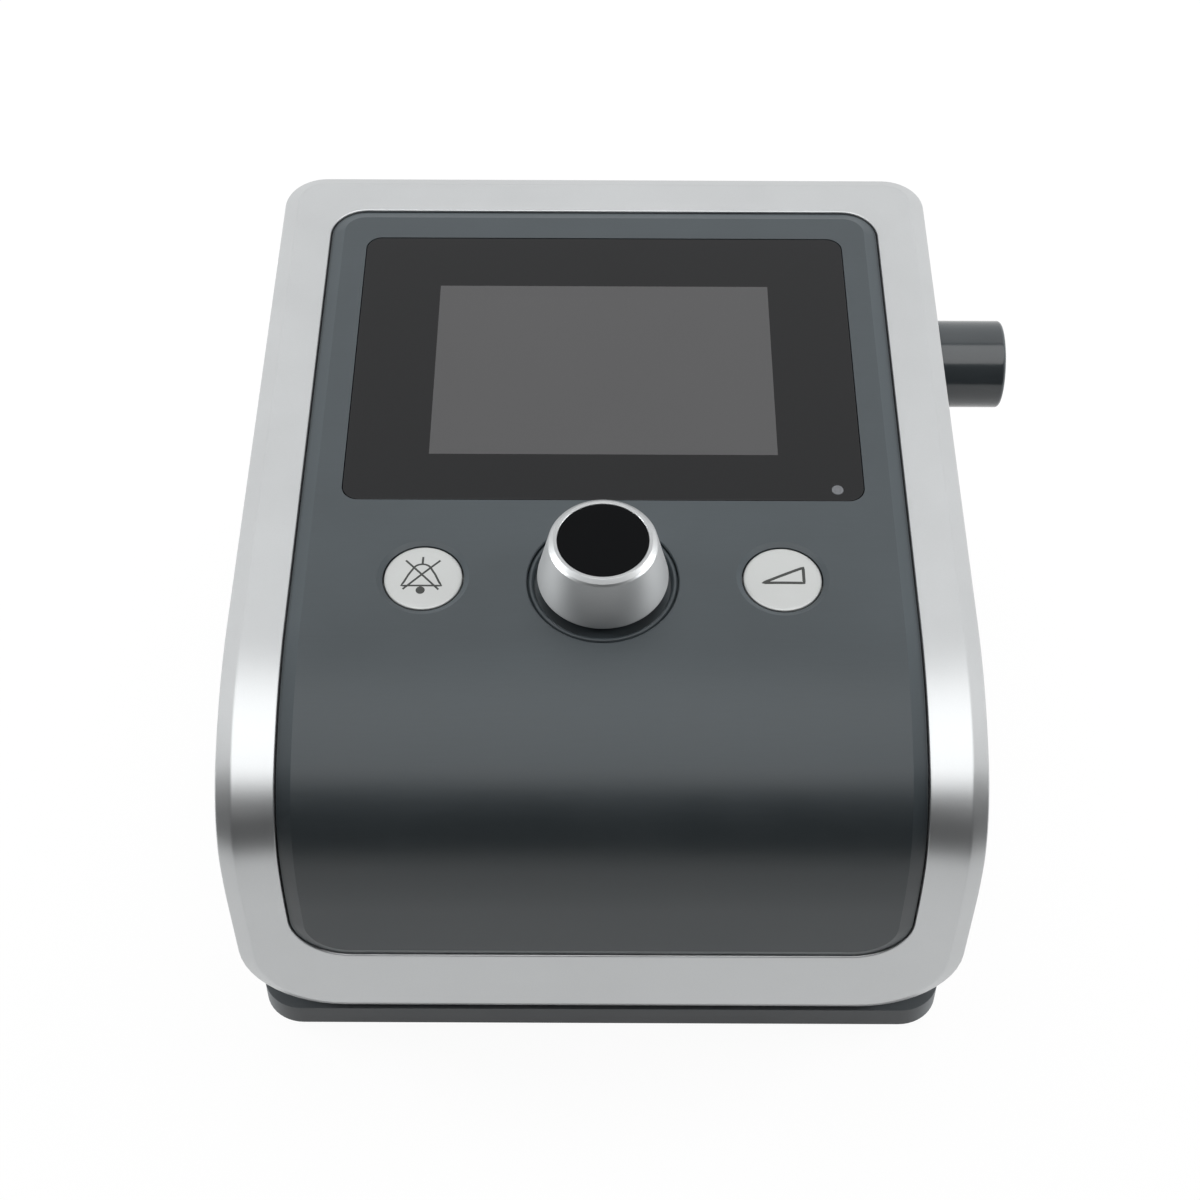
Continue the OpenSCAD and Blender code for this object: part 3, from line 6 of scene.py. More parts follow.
import bpy
from bpy.props import FloatProperty, FloatVectorProperty, IntProperty, PointerProperty
from mathutils import Matrix, Vector


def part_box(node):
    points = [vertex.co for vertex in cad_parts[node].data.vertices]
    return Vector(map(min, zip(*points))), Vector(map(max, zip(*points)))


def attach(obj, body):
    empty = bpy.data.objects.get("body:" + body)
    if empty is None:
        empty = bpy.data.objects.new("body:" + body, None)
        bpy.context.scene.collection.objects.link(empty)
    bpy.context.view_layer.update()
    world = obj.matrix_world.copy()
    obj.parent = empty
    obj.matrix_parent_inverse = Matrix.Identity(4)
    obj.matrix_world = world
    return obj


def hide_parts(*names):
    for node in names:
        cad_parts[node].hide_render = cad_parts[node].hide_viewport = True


bl_info = {
    "name": "Bedside breathing machine",
    "version": (1, 0, 0),
    "blender": (4, 5, 0),
    "location": "3D View > Sidebar > Breathing machine",
    "description": "Dresses the packed breathing machine with its trim, screen, controls and finishes",
    "category": "Object",
}

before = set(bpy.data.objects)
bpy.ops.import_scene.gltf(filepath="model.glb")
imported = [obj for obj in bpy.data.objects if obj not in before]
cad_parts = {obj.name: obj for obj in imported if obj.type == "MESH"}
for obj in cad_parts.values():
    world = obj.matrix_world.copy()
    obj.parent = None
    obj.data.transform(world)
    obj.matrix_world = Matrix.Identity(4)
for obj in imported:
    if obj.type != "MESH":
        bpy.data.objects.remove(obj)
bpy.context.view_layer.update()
MM = 0.001


# Colours and property helpers

def linear(code, alpha=1.0):
    """An sRGB hex value as linear red, green, blue and alpha."""
    parts = [int(code[i:i + 2], 16) / 255 for i in (1, 3, 5)]
    return tuple(c / 12.92 if c <= 0.04045 else ((c + 0.055) / 1.055) ** 2.4 for c in parts) + (alpha,)


def number(name, text, value, **kind):
    return FloatProperty(name=name, description=text, default=value, **kind)


def length(name, text, size):
    """A size, given in millimetres."""
    return number(name, text, size * MM, unit="LENGTH", precision=5)


def colour(name, text, code):
    return FloatVectorProperty(name=name, description=text, default=linear(code), size=4, subtype="COLOR")


class MachineFace(bpy.types.PropertyGroup):
    """Sizes of the silver surround and the fascia"""
    half_width: length("Half width", "Half the width over the silver surround", 85)
    band: length("Side band", "Width of the silver band at the sides and the top", 13.2)
    front_band: length("Front band", "Width of the silver band at the front's lower edge", 23)
    facet: length("Facet", "Width of the sloping outer facet", 3.9)
    facet_drop: length("Facet drop", "How far the facet drops to the outer edge", 1.8)
    band_dip: length("Band dip", "How far the band dips towards the fascia", 1)
    depth: length("Depth", "Depth of the surround's outer wall", 9.6)
    wall: length("Wall", "Thickness of the surround's outer wall", 2)
    top_radius: length("Top radius", "Outer corner radius at the top", 10.5)
    front_radius: length("Front radius", "Outer corner radius at the front's lower edge", 23)
    opening_top_radius: length("Opening top radius", "Corner radius of the fascia's opening at the top", 9)
    opening_front_radius: length("Opening front radius", "Corner radius of the opening at the front", 13.5)
    lift: length("Lift", "Height of the surround's lower edge above the desk", 7.8)
    fascia: length("Fascia", "Thickness of the fascia plate", 3.2)
    gap: length("Gap", "Gap between the fascia and the surround", 0.35)
    chamfer: length("Chamfer", "Width of the fascia's edge chamfer", 3.4)
    chamfer_drop: length("Chamfer drop", "Drop of the fascia's edge chamfer", 1.5)
    edge: length("Edge rounding", "Radius of the moulded edges", 0.45)


class MachineScreen(bpy.types.PropertyGroup):
    """Sizes of the glass, the display and the light sensor"""
    width: length("Width", "Width of the black glass", 123.6)
    height: length("Height", "Height of the black glass, along the face", 88.5)
    top: length("Top", "Distance from the top of the face to the glass", 24.7)
    thickness: length("Thickness", "Thickness of the glass", 1.6)
    radius: length("Corner radius", "Corner radius of the glass", 4)
    window_width: length("Window width", "Width of the display", 83.7)
    window_height: length("Window height", "Height of the display, along the face", 56.8)
    window_top: length("Window top", "Distance from the glass's top edge to the display", 17.6)
    lens: length("Lens", "Diameter of the small sensor lens", 2.9)
    lens_side: length("Lens side", "Distance of the lens from the glass's right edge", 6.3)
    lens_edge: length("Lens edge", "Distance of the lens from the glass's lower edge", 3.4)


class MachineControls(bpy.types.PropertyGroup):
    """Sizes of the knob and the two buttons"""
    place: length("Place", "Distance from the top of the face to the knob and the buttons", 137)
    foot: length("Knob foot", "Radius of the knob's foot", 15)
    foot_height: length("Knob foot height", "Height of the knob's foot above the face", 1.5)
    top: length("Knob top", "Radius of the knob's top edge", 12.4)
    cap: length("Cap", "Radius of the black cap in the knob's top", 10.3)
    height: length("Knob height", "Height of the knob above the face", 15)
    well: length("Well", "Radius of the well round the knob", 17.4)
    well_depth: length("Well depth", "Depth of the well round the knob", 1.9)
    button_place: length("Button place", "Distance of each button from the middle", 41.2)
    button_up: length("Button up", "How far up the slope the buttons are from the knob's middle", 0.8)
    button: length("Button", "Radius of a button", 9.05)
    button_sink: length("Button sink", "How far a button's top lies under the face", 0.4)
    button_dome: length("Button dome", "How far the middle of a button bulges", 0.2)
    button_gap: length("Button gap", "Gap between a button and its well", 0.3)
    button_bevel: length("Button bevel", "Width of the bevel round a button's well", 1.3)
    button_bevel_depth: length("Button bevel depth", "Depth of the bevel round a button's well", 0.6)
    bell_stroke: length("Bell stroke", "Line width of the bell", 0.5)
    ramp_stroke: length("Ramp stroke", "Line width of the ramp", 0.72)


class MachineOutlet(bpy.types.PropertyGroup):
    """Sizes of the air spigot"""
    radius: length("Radius", "Outer radius of the spigot", 11.3)
    root: length("Root", "Outer radius of the spigot's thicker root", 11.8)
    root_end: length("Root end", "Distance of the root's end from the middle of the machine", 85)
    root_taper: length("Root taper", "Length of the taper from the root to the spigot", 0.5)
    bore: length("Bore", "Radius of the spigot's bore", 9.5)
    tip: length("Tip", "Rounding of the spigot's end", 0.9)


class MachineColours(bpy.types.PropertyGroup):
    """Colours of the outer pieces"""
    silver: colour("Silver", "Satin silver paint of the surround", "#c0c2c3")
    fascia: colour("Fascia", "Dark grey of the fascia", "#3e4549")
    case: colour("Case", "Dark grey of the case and the base", "#4a4e51")
    glass: colour("Glass", "Black print behind the glass", "#101113")
    display: colour("Display", "Unlit display", "#505051")
    knob: colour("Knob", "Silver of the knob", "#abadae")
    button: colour("Button", "Silver paint of the buttons", "#bcbebd")
    print_ink: colour("Print", "Ink of the symbols on the buttons", "#303230")
    spigot: colour("Spigot", "Glossy dark grey of the spigot", "#3f4447")


class MachineStudio(bpy.types.PropertyGroup):
    """Camera and light"""
    lens: number("Lens", "Focal length on a 36 mm sensor", 61.15)
    pitch: number("Pitch", "How far the camera looks down", radians(45.529), subtype="ANGLE")
    roll: number("Roll", "How far the camera is turned about its view", radians(0.235), subtype="ANGLE")
    place: FloatVectorProperty(
        name="Place", description="Where the camera stands", default=(-0.00006, -0.37118, 0.42909),
        subtype="TRANSLATION")
    shift: FloatVectorProperty(
        name="Shift", description="The camera's shift that frames the view", default=(-0.0021, 0.0019), size=2)
    fill: number("Fill", "Light of the world on the object", 0.25)
    key: number("Key", "Power of the overhead soft box, in watts", 11)
    side: number("Side", "Power of each side lamp, in watts", 17)
    knob: number("Knob", "Power of each of the knob's own lamps, in watts", 18)


class BreathingMachine(bpy.types.PropertyGroup):
    """All settings of the breathing machine"""
    face: PointerProperty(type=MachineFace)
    screen: PointerProperty(type=MachineScreen)
    controls: PointerProperty(type=MachineControls)
    outlet: PointerProperty(type=MachineOutlet)
    colours: PointerProperty(type=MachineColours)
    studio: PointerProperty(type=MachineStudio)
    sides: IntProperty(name="Sides", description="Steps round a turned piece", default=128, min=24, max=256)


def settings():
    return bpy.context.scene.breathing_machine


# Modelling helpers

def deselect():
    if bpy.context.object and bpy.context.object.mode != "OBJECT":
        bpy.ops.object.mode_set(mode="OBJECT")
    bpy.ops.object.select_all(action="DESELECT")


def take(piece):
    """Makes a piece the only one selected."""
    deselect()
    piece.select_set(True)
    bpy.context.view_layer.objects.active = piece


def edit(piece, kind="VERT"):
    take(piece)
    bpy.ops.object.mode_set(mode="EDIT")
    bpy.ops.mesh.select_mode(type=kind)


def pick(piece, test, kind="VERT"):
    """Opens a piece for editing with the vertices or faces that pass the test selected."""
    edit(piece, kind)
    bpy.ops.mesh.select_all(action="DESELECT")
    bpy.ops.object.mode_set(mode="OBJECT")
    for part in piece.data.vertices if kind == "VERT" else piece.data.polygons:
        part.select = test(part)
    bpy.ops.object.mode_set(mode="EDIT")


def pick_all():
    bpy.ops.mesh.select_all(action="SELECT")


def close():
    bpy.ops.object.mode_set(mode="OBJECT")


def outward():
    """Turns all faces of the open piece outwards and closes it."""
    pick_all()
    bpy.ops.mesh.normals_make_consistent(inside=False)
    close()


def placed(name, data):
    """Adds an object with the given data to the scene."""
    piece = bpy.data.objects.new(name, data)
    bpy.context.scene.collection.objects.link(piece)
    return piece


def settle(piece):
    """Puts a piece's place, turn and scale into its mesh."""
    take(piece)
    bpy.ops.object.transform_apply(location=True, rotation=True, scale=True)


def block(kind, place, size, **options):
    """A plane or a cube of a given size."""
    deselect()
    getattr(bpy.ops.mesh, f"primitive_{kind}_add")(size=1, location=place, **options)
    piece = bpy.context.object
    piece.scale = size
    settle(piece)
    return piece


def shaped(piece, kind, **options):
    """Adds a modifier to a piece and applies it."""
    take(piece)
    bpy.ops.object.modifier_add(type=kind)
    made = piece.modifiers[-1]
    for key, value in options.items():
        setattr(made, key, value)
    bpy.ops.object.modifier_apply(modifier=made.name)


def rounded(piece, width, segments=3, angle=28):
    """Rounds the edges that are sharper than the angle."""
    shaped(piece, "BEVEL", width=width, segments=segments, limit_method="ANGLE", angle_limit=radians(angle),
           harden_normals=False)


def smooth(piece, angle=35):
    take(piece)
    bpy.ops.object.shade_smooth_by_angle(angle=radians(angle))
    shaped(piece, "WEIGHTED_NORMAL", keep_sharp=True, weight=60)


def joined(pieces):
    deselect()
    for piece in pieces:
        piece.select_set(True)
    bpy.context.view_layer.objects.active = pieces[0]
    bpy.ops.object.join()
    return bpy.context.object


def cut(piece, *cutters):
    """Takes the cutters' shapes out of a piece."""
    for cutter in cutters:
        shaped(piece, "BOOLEAN", operation="DIFFERENCE", object=cutter, solver="EXACT")
        bpy.data.objects.remove(cutter)


def named(piece, name, body, slot, finish, *nodes):
    """Names a finished piece, gives it its body and finish, and hides the nodes it stands for. The slot is not used.
    """
    piece.name = piece.data.name = name
    piece.data.materials.clear()
    piece.data.materials.append(FINISHES[finish])
    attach(piece, body)
    if nodes:
        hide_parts(*nodes)
    return piece


def turned(profile, steps=None, sweep=2 * pi):
    """A piece turned about Z: a profile of (radius, height), drawn point by point and spun."""
    deselect()
    bpy.ops.mesh.primitive_plane_add(size=MM)
    piece = bpy.context.object
    edit(piece)
    pick_all()
    bpy.ops.mesh.merge(type="CENTER")
    bpy.ops.transform.translate(value=(profile[0][0], 0, profile[0][1]))
    for a, b in zip(profile, profile[1:]):
        bpy.ops.mesh.extrude_vertices_move(TRANSFORM_OT_translate={"value": (b[0] - a[0], 0, b[1] - a[1])})
    pick_all()
    bpy.ops.mesh.spin(steps=steps or settings().sides, angle=sweep, center=(0, 0, 0), axis=(0, 0, 1))
    pick_all()
    bpy.ops.mesh.remove_doubles(threshold=0.002 * MM)
    bpy.ops.mesh.delete_loose()
    outward()
    return piece


def eased(corners, steps=4):
    """A profile of (radius, height, easing) with an arc at each corner that has an easing, for turned().
    A profile that starts off the axis comes back to its start, so that the turned piece is closed."""
    points = []
    for k, (r, z, ease) in enumerate(corners):
        here = Vector((r, z))
        back, on = (Vector(corners[j % len(corners)][:2]) - here for j in (k - 1, k + 1))
        if not ease:
            points.append((r, z))
            continue
        half = back.angle(on) / 2
        reach = min(ease / tan(half), 0.48 * back.length, 0.48 * on.length)
        middle = here + (back.normalized() + on.normalized()).normalized() * reach / cos(half)
        start, end = here + back.normalized() * reach - middle, here + on.normalized() * reach - middle
        turn, sweep = atan2(start.y, start.x), start.angle_signed(end)
        for j in range(steps + 1):
            a = turn - sweep * j / steps
            points.append((middle.x + start.length * cos(a), middle.y + start.length * sin(a)))
    return points + points[:1] if corners[0][0] else points


# The face's side profile. A distance runs down the face from its top edge: a flat part, three arcs
# and the front wall.
TILT = radians(7.8)
# The top edge as (y, z), in the face's plane. The facet's inner edge, 3.9 mm down it, is 118 mm high.
FACE_TOP = (0.0948, 0.118 + 0.0039 * sin(TILT))
FRONT_Y = -0.098
# The arcs' radii, and the face's slope at the end of each
BENDS = ((0.078, radians(33)), (0.0295, radians(84)), (0.1, radians(92)))
# The bending rail runs on past both ends of the face by its lead, with a point at each of its steps. A
# piece is cut at about each bend step.
RAIL_LEAD = 0.01
RAIL_STEP = 0.0004
BEND_STEP = 0.0012


def flat_length():
    """The length of the flat part, from what the arcs leave of the face's reach."""
    reach, before = FACE_TOP[0] - FRONT_Y, TILT
    for radius, after in BENDS[:2]:
        reach -= radius * (sin(after) - sin(before))
        before = after
    reach -= BENDS[2][0] * (1 - sin(before))
    return reach / cos(TILT)


def face_arcs():
    """The runs of the profile: start distance, start point, start slope and radius."""
    runs = [(0, FACE_TOP, TILT, 0)]
    s, (y, z), a = flat_length(), FACE_TOP, TILT
    y, z = y - s * cos(a), z - s * sin(a)
    for radius, b in BENDS:
        runs.append((s, (y, z), a, radius))
        y, z = y - radius * (sin(b) - sin(a)), z - radius * (cos(a) - cos(b))
        s, a = s + radius * (b - a), b
    return runs + [(s, (y, z), a, 0)]


FACE_RUNS = face_arcs()
BEND_START = FACE_RUNS[1][0]
BEND_END = FACE_RUNS[-1][0]


def face_point(s, depth=0.0):
    """The point (y, z) and the slope at a distance down the face, and a depth under it."""
    start, (y, z), a, radius = [run for run in FACE_RUNS if run[0] <= max(s, 0)][-1]
    b = a
    if radius:
        b += (s - start) / radius
        y, z = y - radius * (sin(b) - sin(a)), z - radius * (cos(a) - cos(b))
    else:
        y, z = y - (s - start) * cos(a), z - (s - start) * sin(a)
    return y + depth * sin(b), z - depth * cos(b), b


def surround_end():
    """The distance down the face to the surround's lower edge."""
    f = settings().face
    _, z, a = face_point(BEND_END, f.facet_drop)
    return BEND_END + (z - f.lift) / sin(a)


def face_rings():
    """The surround's outline and the fascia's opening: half width, top, end, top and front radius."""
    f, end = settings().face, surround_end()
    outer = (f.half_width, 0, end, f.top_radius, f.front_radius)
    opening = (f.half_width - f.band, f.band, end - f.front_band, f.opening_top_radius, f.opening_front_radius)
    return outer, opening


def glass_ring(gap=0.0):
    """The glass's outline, or with a gap the outline of its pocket."""
    s = settings().screen
    return s.width / 2 + gap, s.top - gap, s.top + s.height + gap, s.radius, s.radius


def flat_outline(ring, grow=0.0, depth=0.0, steps=12):
    """A rounded plate on the flattened face: X runs down the face, Z across it and -Y out of it."""
    half, top, end = ring[0] + grow, ring[1] - grow, ring[2] + grow
    middle, near = (top + end) / 2, MM / 100
    piece = block("plane", (middle, depth, 0), (end - top, 2 * half, 1), rotation=(pi / 2, 0, 0))
    for radius, side in ((ring[3] + grow, -1), (ring[4] + grow, 1)):
        pick(piece, lambda v: (v.co.x - middle) * side > (end - top) / 2 - near)
        bpy.ops.mesh.bevel(offset=radius, segments=steps, affect="VERTICES")
        close()
    return piece


def flat_frame(section):
    """A closed frame on the flattened face, bridged between outlines given as (ring, growth, depth).
    Neighbouring outlines need different depths: bridging two in one plane closes the opening."""
    loops = []
    for ring, grow, depth in section:
        piece = flat_outline(ring, grow, depth)
        pick(piece, lambda f: True, "FACE")
        bpy.ops.mesh.delete(type="ONLY_FACE")
        close()
        loops.append(piece)
    count, total = len(loops[0].data.vertices), len(loops)
    piece = joined(loops)
    for i in range(total):
        pair = {i, (i + 1) % total}
        pick(piece, lambda v: v.index // count in pair)
        bpy.ops.mesh.select_mode(type="EDGE")
        bpy.ops.mesh.bridge_edge_loops()
        close()
    edit(piece)
    outward()
    half, top, end = section[0][0][:3]
    if max(face.area for face in piece.data.polygons) > half * (end - top):
        raise RuntimeError("the frame's bridging closed its opening")
    return piece


def flat_plate(ring, grow, depth, thickness):
    """A solid plate on the flattened face, from its depth down by its thickness."""
    piece = flat_outline(ring, grow, depth + thickness)
    pick(piece, lambda f: True, "FACE")
    bpy.ops.mesh.extrude_region_move(TRANSFORM_OT_translate={"value": (0, -thickness, 0)})
    outward()
    return piece


def flat_drum(x, s, profile):
    """A turned cutter or piece on the flattened face."""
    piece = turned(profile)
    piece.rotation_euler = (pi / 2, 0, 0)
    piece.location = (s, 0, x)
    settle(piece)
    return piece


def sliced(piece, stations, axis=0):
    """Cuts edges across a flat piece, at distances along an axis."""
    edit(piece)
    for s in stations:
        place, way = Vector(), Vector()
        place[axis], way[axis] = s, 1
        pick_all()
        bpy.ops.mesh.bisect(plane_co=place, plane_no=way)
    close()


def bent(piece):
    """Lays a piece of the flattened face over the real one, along a rail with the face's profile."""
    count = int((BEND_END - BEND_START) / BEND_STEP)
    sliced(piece, [BEND_START + (BEND_END - BEND_START) * k / count for k in range(count + 1)])
    rail = bpy.data.curves.new("face_rail", "CURVE")
    rail.dimensions = "2D"
    line = rail.splines.new("POLY")
    count = int((surround_end() + 2 * RAIL_LEAD) / RAIL_STEP)
    line.points.add(count)
    for k in range(count + 1):
        y, z, _ = face_point(k * RAIL_STEP - RAIL_LEAD)
        line.points[k].co = (-y, -z, 0, 1)
    guide = placed("face_rail", rail)
    piece.location.x = RAIL_LEAD
    settle(piece)
    shaped(piece, "CURVE", object=guide, deform_axis="POS_X")
    bpy.data.objects.remove(guide)
    piece.matrix_world = Matrix(((0, 0, 1, 0), (-1, 0, 0, 0), (0, -1, 0, 0), (0, 0, 0, 1)))
    settle(piece)
    return piece


def on_face(piece, x, s, depth=0.0):
    """Sets a piece made about the origin, with Z out of the face, on the flat part of the face."""
    y, z, a = face_point(s, depth)
    piece.rotation_euler = (a, 0, 0)
    piece.location = (x, y, z)
    settle(piece)
    return piece


# Finishes

def per(size):
    """A pattern's scale from its size in millimetres."""
    return 1 / (size * MM)


def add(tree, kind, sockets=None, **options):
    """Adds a node. A socket gets a value, or a link where it is given another node's output."""
    made = tree.nodes.new("ShaderNode" + kind)
    for key, value in options.items():
        setattr(made, key, value)
    for key, value in (sockets or {}).items():
        if isinstance(value, bpy.types.NodeSocket):
            tree.links.new(value, made.inputs[key])
        else:
            made.inputs[key].default_value = value
    return made


def blank(name):
    """A material with no nodes, and its node tree."""
    material = bpy.data.materials.new(name)
    material.use_nodes = True
    material.node_tree.nodes.clear()
    return material, material.node_tree


def show(tree, kind, sockets):
    """Adds a shader and makes it the material's surface."""
    add(tree, "OutputMaterial", {"Surface": add(tree, kind, sockets).outputs[0]})


def relief_shaded(tree, value, low, high, relief, sockets, invert=False):
    """A surface whose colour and relief both follow a pattern's value. The colour is painted shade: darker or lighter
    with the relief.
    """
    paint = add(tree, "Mix", {0: value, 6: low, 7: high}, data_type="RGBA")
    bump = add(tree, "Bump", {"Height": value, "Distance": relief}, invert=invert)
    show(tree, "BsdfPrincipled", {"Base Color": paint.outputs[2], "Normal": bump.outputs[0], **sockets})


def shade(colour, share):
    """A colour made darker or lighter."""
    return tuple(min(c * share, 1) for c in colour[:3]) + (1,)


def finish(name, colour, rough, grain, metal=0.0, bump=0.05, vary=0.06, rough_vary=0.04, stretch=(1, 1, 1),
           cloud=18, **shader):
    """A finish with a fine grain of the given size in millimetres and a slow, faint cloud over it."""
    material, tree = blank(name)
    place = add(tree, "TexCoord").outputs["Object"]
    spread = add(tree, "Mapping", {"Vector": place, "Scale": stretch}).outputs[0]
    fine = add(tree, "TexNoise", {"Vector": spread, "Scale": per(grain), "Detail": 3.0, "Roughness": 0.6})
    slow = add(tree, "TexNoise", {"Vector": place, "Scale": per(cloud), "Detail": 2.0})
    both = add(tree, "Math", {0: fine.outputs["Fac"], 1: slow.outputs["Fac"]}, operation="ADD").outputs[0]
    # The span that the two noises' sum mostly keeps to
    span = {"Value": both, "From Min": 0.6, "From Max": 1.4}
    tone = add(tree, "MapRange", span).outputs[0]
    paint = add(tree, "Mix", {0: tone, 6: shade(colour, 1 - vary), 7: shade(colour, 1 + vary)}, data_type="RGBA")
    gloss = add(tree, "MapRange", {**span, "To Min": rough - rough_vary, "To Max": rough + rough_vary})
    sockets = {"Base Color": paint.outputs[2], "Metallic": metal, "Roughness": gloss.outputs[0]}
    if bump:
        relief = add(tree, "Bump", {"Height": fine.outputs["Fac"], "Distance": bump * MM, "Strength": 1.0})
        sockets["Normal"] = relief.outputs[0]
    show(tree, "BsdfPrincipled", {**sockets, **shader})
    return material


def circuit_board(name):
    """Solder mask over copper: dark green gloss with slightly lighter runs of track."""
    material, tree = blank(name)
    place = add(tree, "TexCoord").outputs["Object"]
    brick = add(tree, "TexBrick", {
        "Vector": place, "Scale": 1.0, "Color1": linear("#1c5a3b"), "Color2": linear("#1a5236"),
        "Mortar": linear("#2d7a50"), "Brick Width": 7 * MM, "Row Height": 1.6 * MM, "Mortar Size": 0.12 * MM})
    show(tree, "BsdfPrincipled", {"Base Color": brick.outputs["Color"], "Roughness": 0.32, "IOR": 1.5})
    return material


def open_foam(name, colour, cell):
    """Open-cell foam: matte, with pores of the given size in millimetres. The colour is painted darker where the
    relief sinks: painted shade in the hollows.
    """
    material, tree = blank(name)
    place = add(tree, "TexCoord").outputs["Object"]
    cells = add(tree, "TexVoronoi", {"Vector": place, "Scale": per(cell)}).outputs["Distance"]
    # Painted shade: the sunken cell walls get the darker colour, the raised cells the lighter one
    relief_shaded(tree, cells, shade(colour, 1.1), shade(colour, 0.5), cell * MM / 2, {"Roughness": 0.95}, True)
    return material


def wound_copper(name):
    """Enamelled copper windings: bands of wire one above the other, drawn coarse enough to show. The grooves between
    the turns are painted dark: painted shade.
    """
    material, tree = blank(name)
    place = add(tree, "TexCoord").outputs["Object"]
    turns = add(tree, "TexWave", {"Vector": place, "Scale": per(0.5) / 20, "Distortion": 0.6}, bands_direction="Z")
    # Painted shade: the wave's troughs, which the bump sinks, get the dark copper, and its crests the bright copper
    relief_shaded(tree, turns.outputs["Fac"], linear("#6e3a17"), linear("#b8713a"), 0.2 * MM,
             {"Metallic": 0.8, "Roughness": 0.35})
    return material


FINISHES = {}


def make_finishes():
    c = settings().colours
    made = (
        # Satin silver lacquer on moulded ABS: fine flakes give a soft, wide sheen
        finish("satin_silver_lacquer", c.silver, 0.39, 0.3, metal=0.85, bump=0.004, vary=0.035, rough_vary=0.03),
        # Dark grey lacquer with a faint cross brushing, which blurs reflections along the face
        finish("brushed_grey_lacquer", c.fascia, 0.38, 0.35, bump=0.006, vary=0.05,
               stretch=(0.04, 1, 1), IOR=1.44),
        # Fine spark-eroded ABS: matt with a tight grain
        finish("textured_abs", c.case, 0.5, 0.5, bump=0.03, vary=0.05),
        # Polished ABS of the spigot: clean, long reflections
        finish("polished_abs", c.spigot, 0.16, 0.8, bump=0, vary=0.03, rough_vary=0.02, IOR=1.55),
        # Cover glass over black print: mirror-like, very dark
        finish("black_printed_glass", c.glass, 0.09, 1.2, bump=0, vary=0.08, rough_vary=0.015, cloud=60, IOR=1.38),
        # Unlit display behind the glass: flat grey, nearly the same gloss
        finish("unlit_display", c.display, 0.11, 0.5, bump=0, vary=0.025, rough_vary=0.015, cloud=50, IOR=1.38),
        # Satin lacquer of the knob: a darker silver than the surround, with the same wide sheen
        finish("satin_knob_lacquer", c.knob, 0.4, 0.25, metal=0.8, bump=0.003, vary=0.02, rough_vary=0.02),
        # Silver paint of the buttons: flatter than the surround, with less of a metal's sheen
        finish("button_paint", c.button, 0.4, 0.3, metal=0.45, bump=0.003, vary=0.02, rough_vary=0.03),
        # Gloss black acrylic of the knob's cap
        finish("gloss_black_acrylic", linear("#08090b"), 0.12, 1.5, bump=0, vary=0.05, rough_vary=0.01, IOR=1.15),
        # Screen-printed ink: flat, dark and matt
        finish("printed_ink", c.print_ink, 0.55, 0.2, bump=0, vary=0.06),
        # Smoked lens of the light sensor
        finish("smoked_lens", linear("#6f7175"), 0.12, 0.6, bump=0, vary=0.1, IOR=1.49),
        # Silicone rubber: deep black, soft and dull
        finish("silicone_rubber", linear("#1b1c1e"), 0.72, 0.4, bump=0.02),
        # Bright zinc plating on the screws: bluish, slightly uneven
        finish("zinc_plate", linear("#a6abb0"), 0.3, 0.6, metal=1, bump=0.01, vary=0.08),
        # Pressed steel sheet: faint rolling lines
        finish("rolled_steel", linear("#b2b5b7"), 0.34, 0.4, metal=1, bump=0.006, stretch=(0.1, 1, 1)),
        # Black glass-filled nylon of small electric parts
        finish("black_nylon", linear("#1f2022"), 0.5, 0.3, bump=0.015),
        # Turned brass of the encoder's bush
        finish("turned_brass", linear("#c8a862"), 0.28, 0.3, metal=1, bump=0.004, stretch=(1, 1, 3)),
        # Natural acetal of the rotor
        finish("natural_acetal", linear("#dcdad0"), 0.42, 0.8, bump=0.006),
        # Ground steel shafts and races
        finish("ground_steel", linear("#b8bbbe"), 0.18, 0.3, metal=1, bump=0.002),
        # Grey polycarbonate of the air path
        finish("grey_polycarbonate", linear("#80858a"), 0.38, 0.5, bump=0.012),
        # Clear silicone hose, milky in this thickness
        finish("milky_silicone", linear("#c3c6c8"), 0.4, 1.0, bump=0, **{"Transmission Weight": 0.25}),
        # White PBT of the blower
        finish("white_pbt", linear("#dcdedb"), 0.4, 0.6, bump=0.01),
        # Sintered magnet, nickel plated
        finish("nickel_magnet", linear("#6a6c70"), 0.4, 0.3, metal=0.9, bump=0.008),
        # Clear anodised aluminium of the heat sink: pale, with lines along the extrusion
        finish("extruded_aluminium", linear("#a5a9ac"), 0.38, 0.4, metal=1, bump=0.006, stretch=(1, 0.08, 1)),
        # Blue polycarbonate card
        finish("blue_card", linear("#2c4a78"), 0.4, 0.5, bump=0.008),
        # Insulated leads
        finish("lead_sleeve", linear("#7d2723"), 0.45, 0.5, bump=0.006),
        # Shrink sleeve on the capacitors
        finish("capacitor_sleeve", linear("#262a33"), 0.3, 0.6, bump=0),
        circuit_board("solder_mask"),
        # Fine grey foam of the inlet filter
        open_foam("inlet_filter_foam", linear("#c9c8be"), 1.1),
        # Dark sound-absorbing foam
        open_foam("damping_foam", linear("#3b3c3e"), 1.8),
        wound_copper("enamelled_copper"),
    )
    FINISHES.update({m.name: m for m in made})


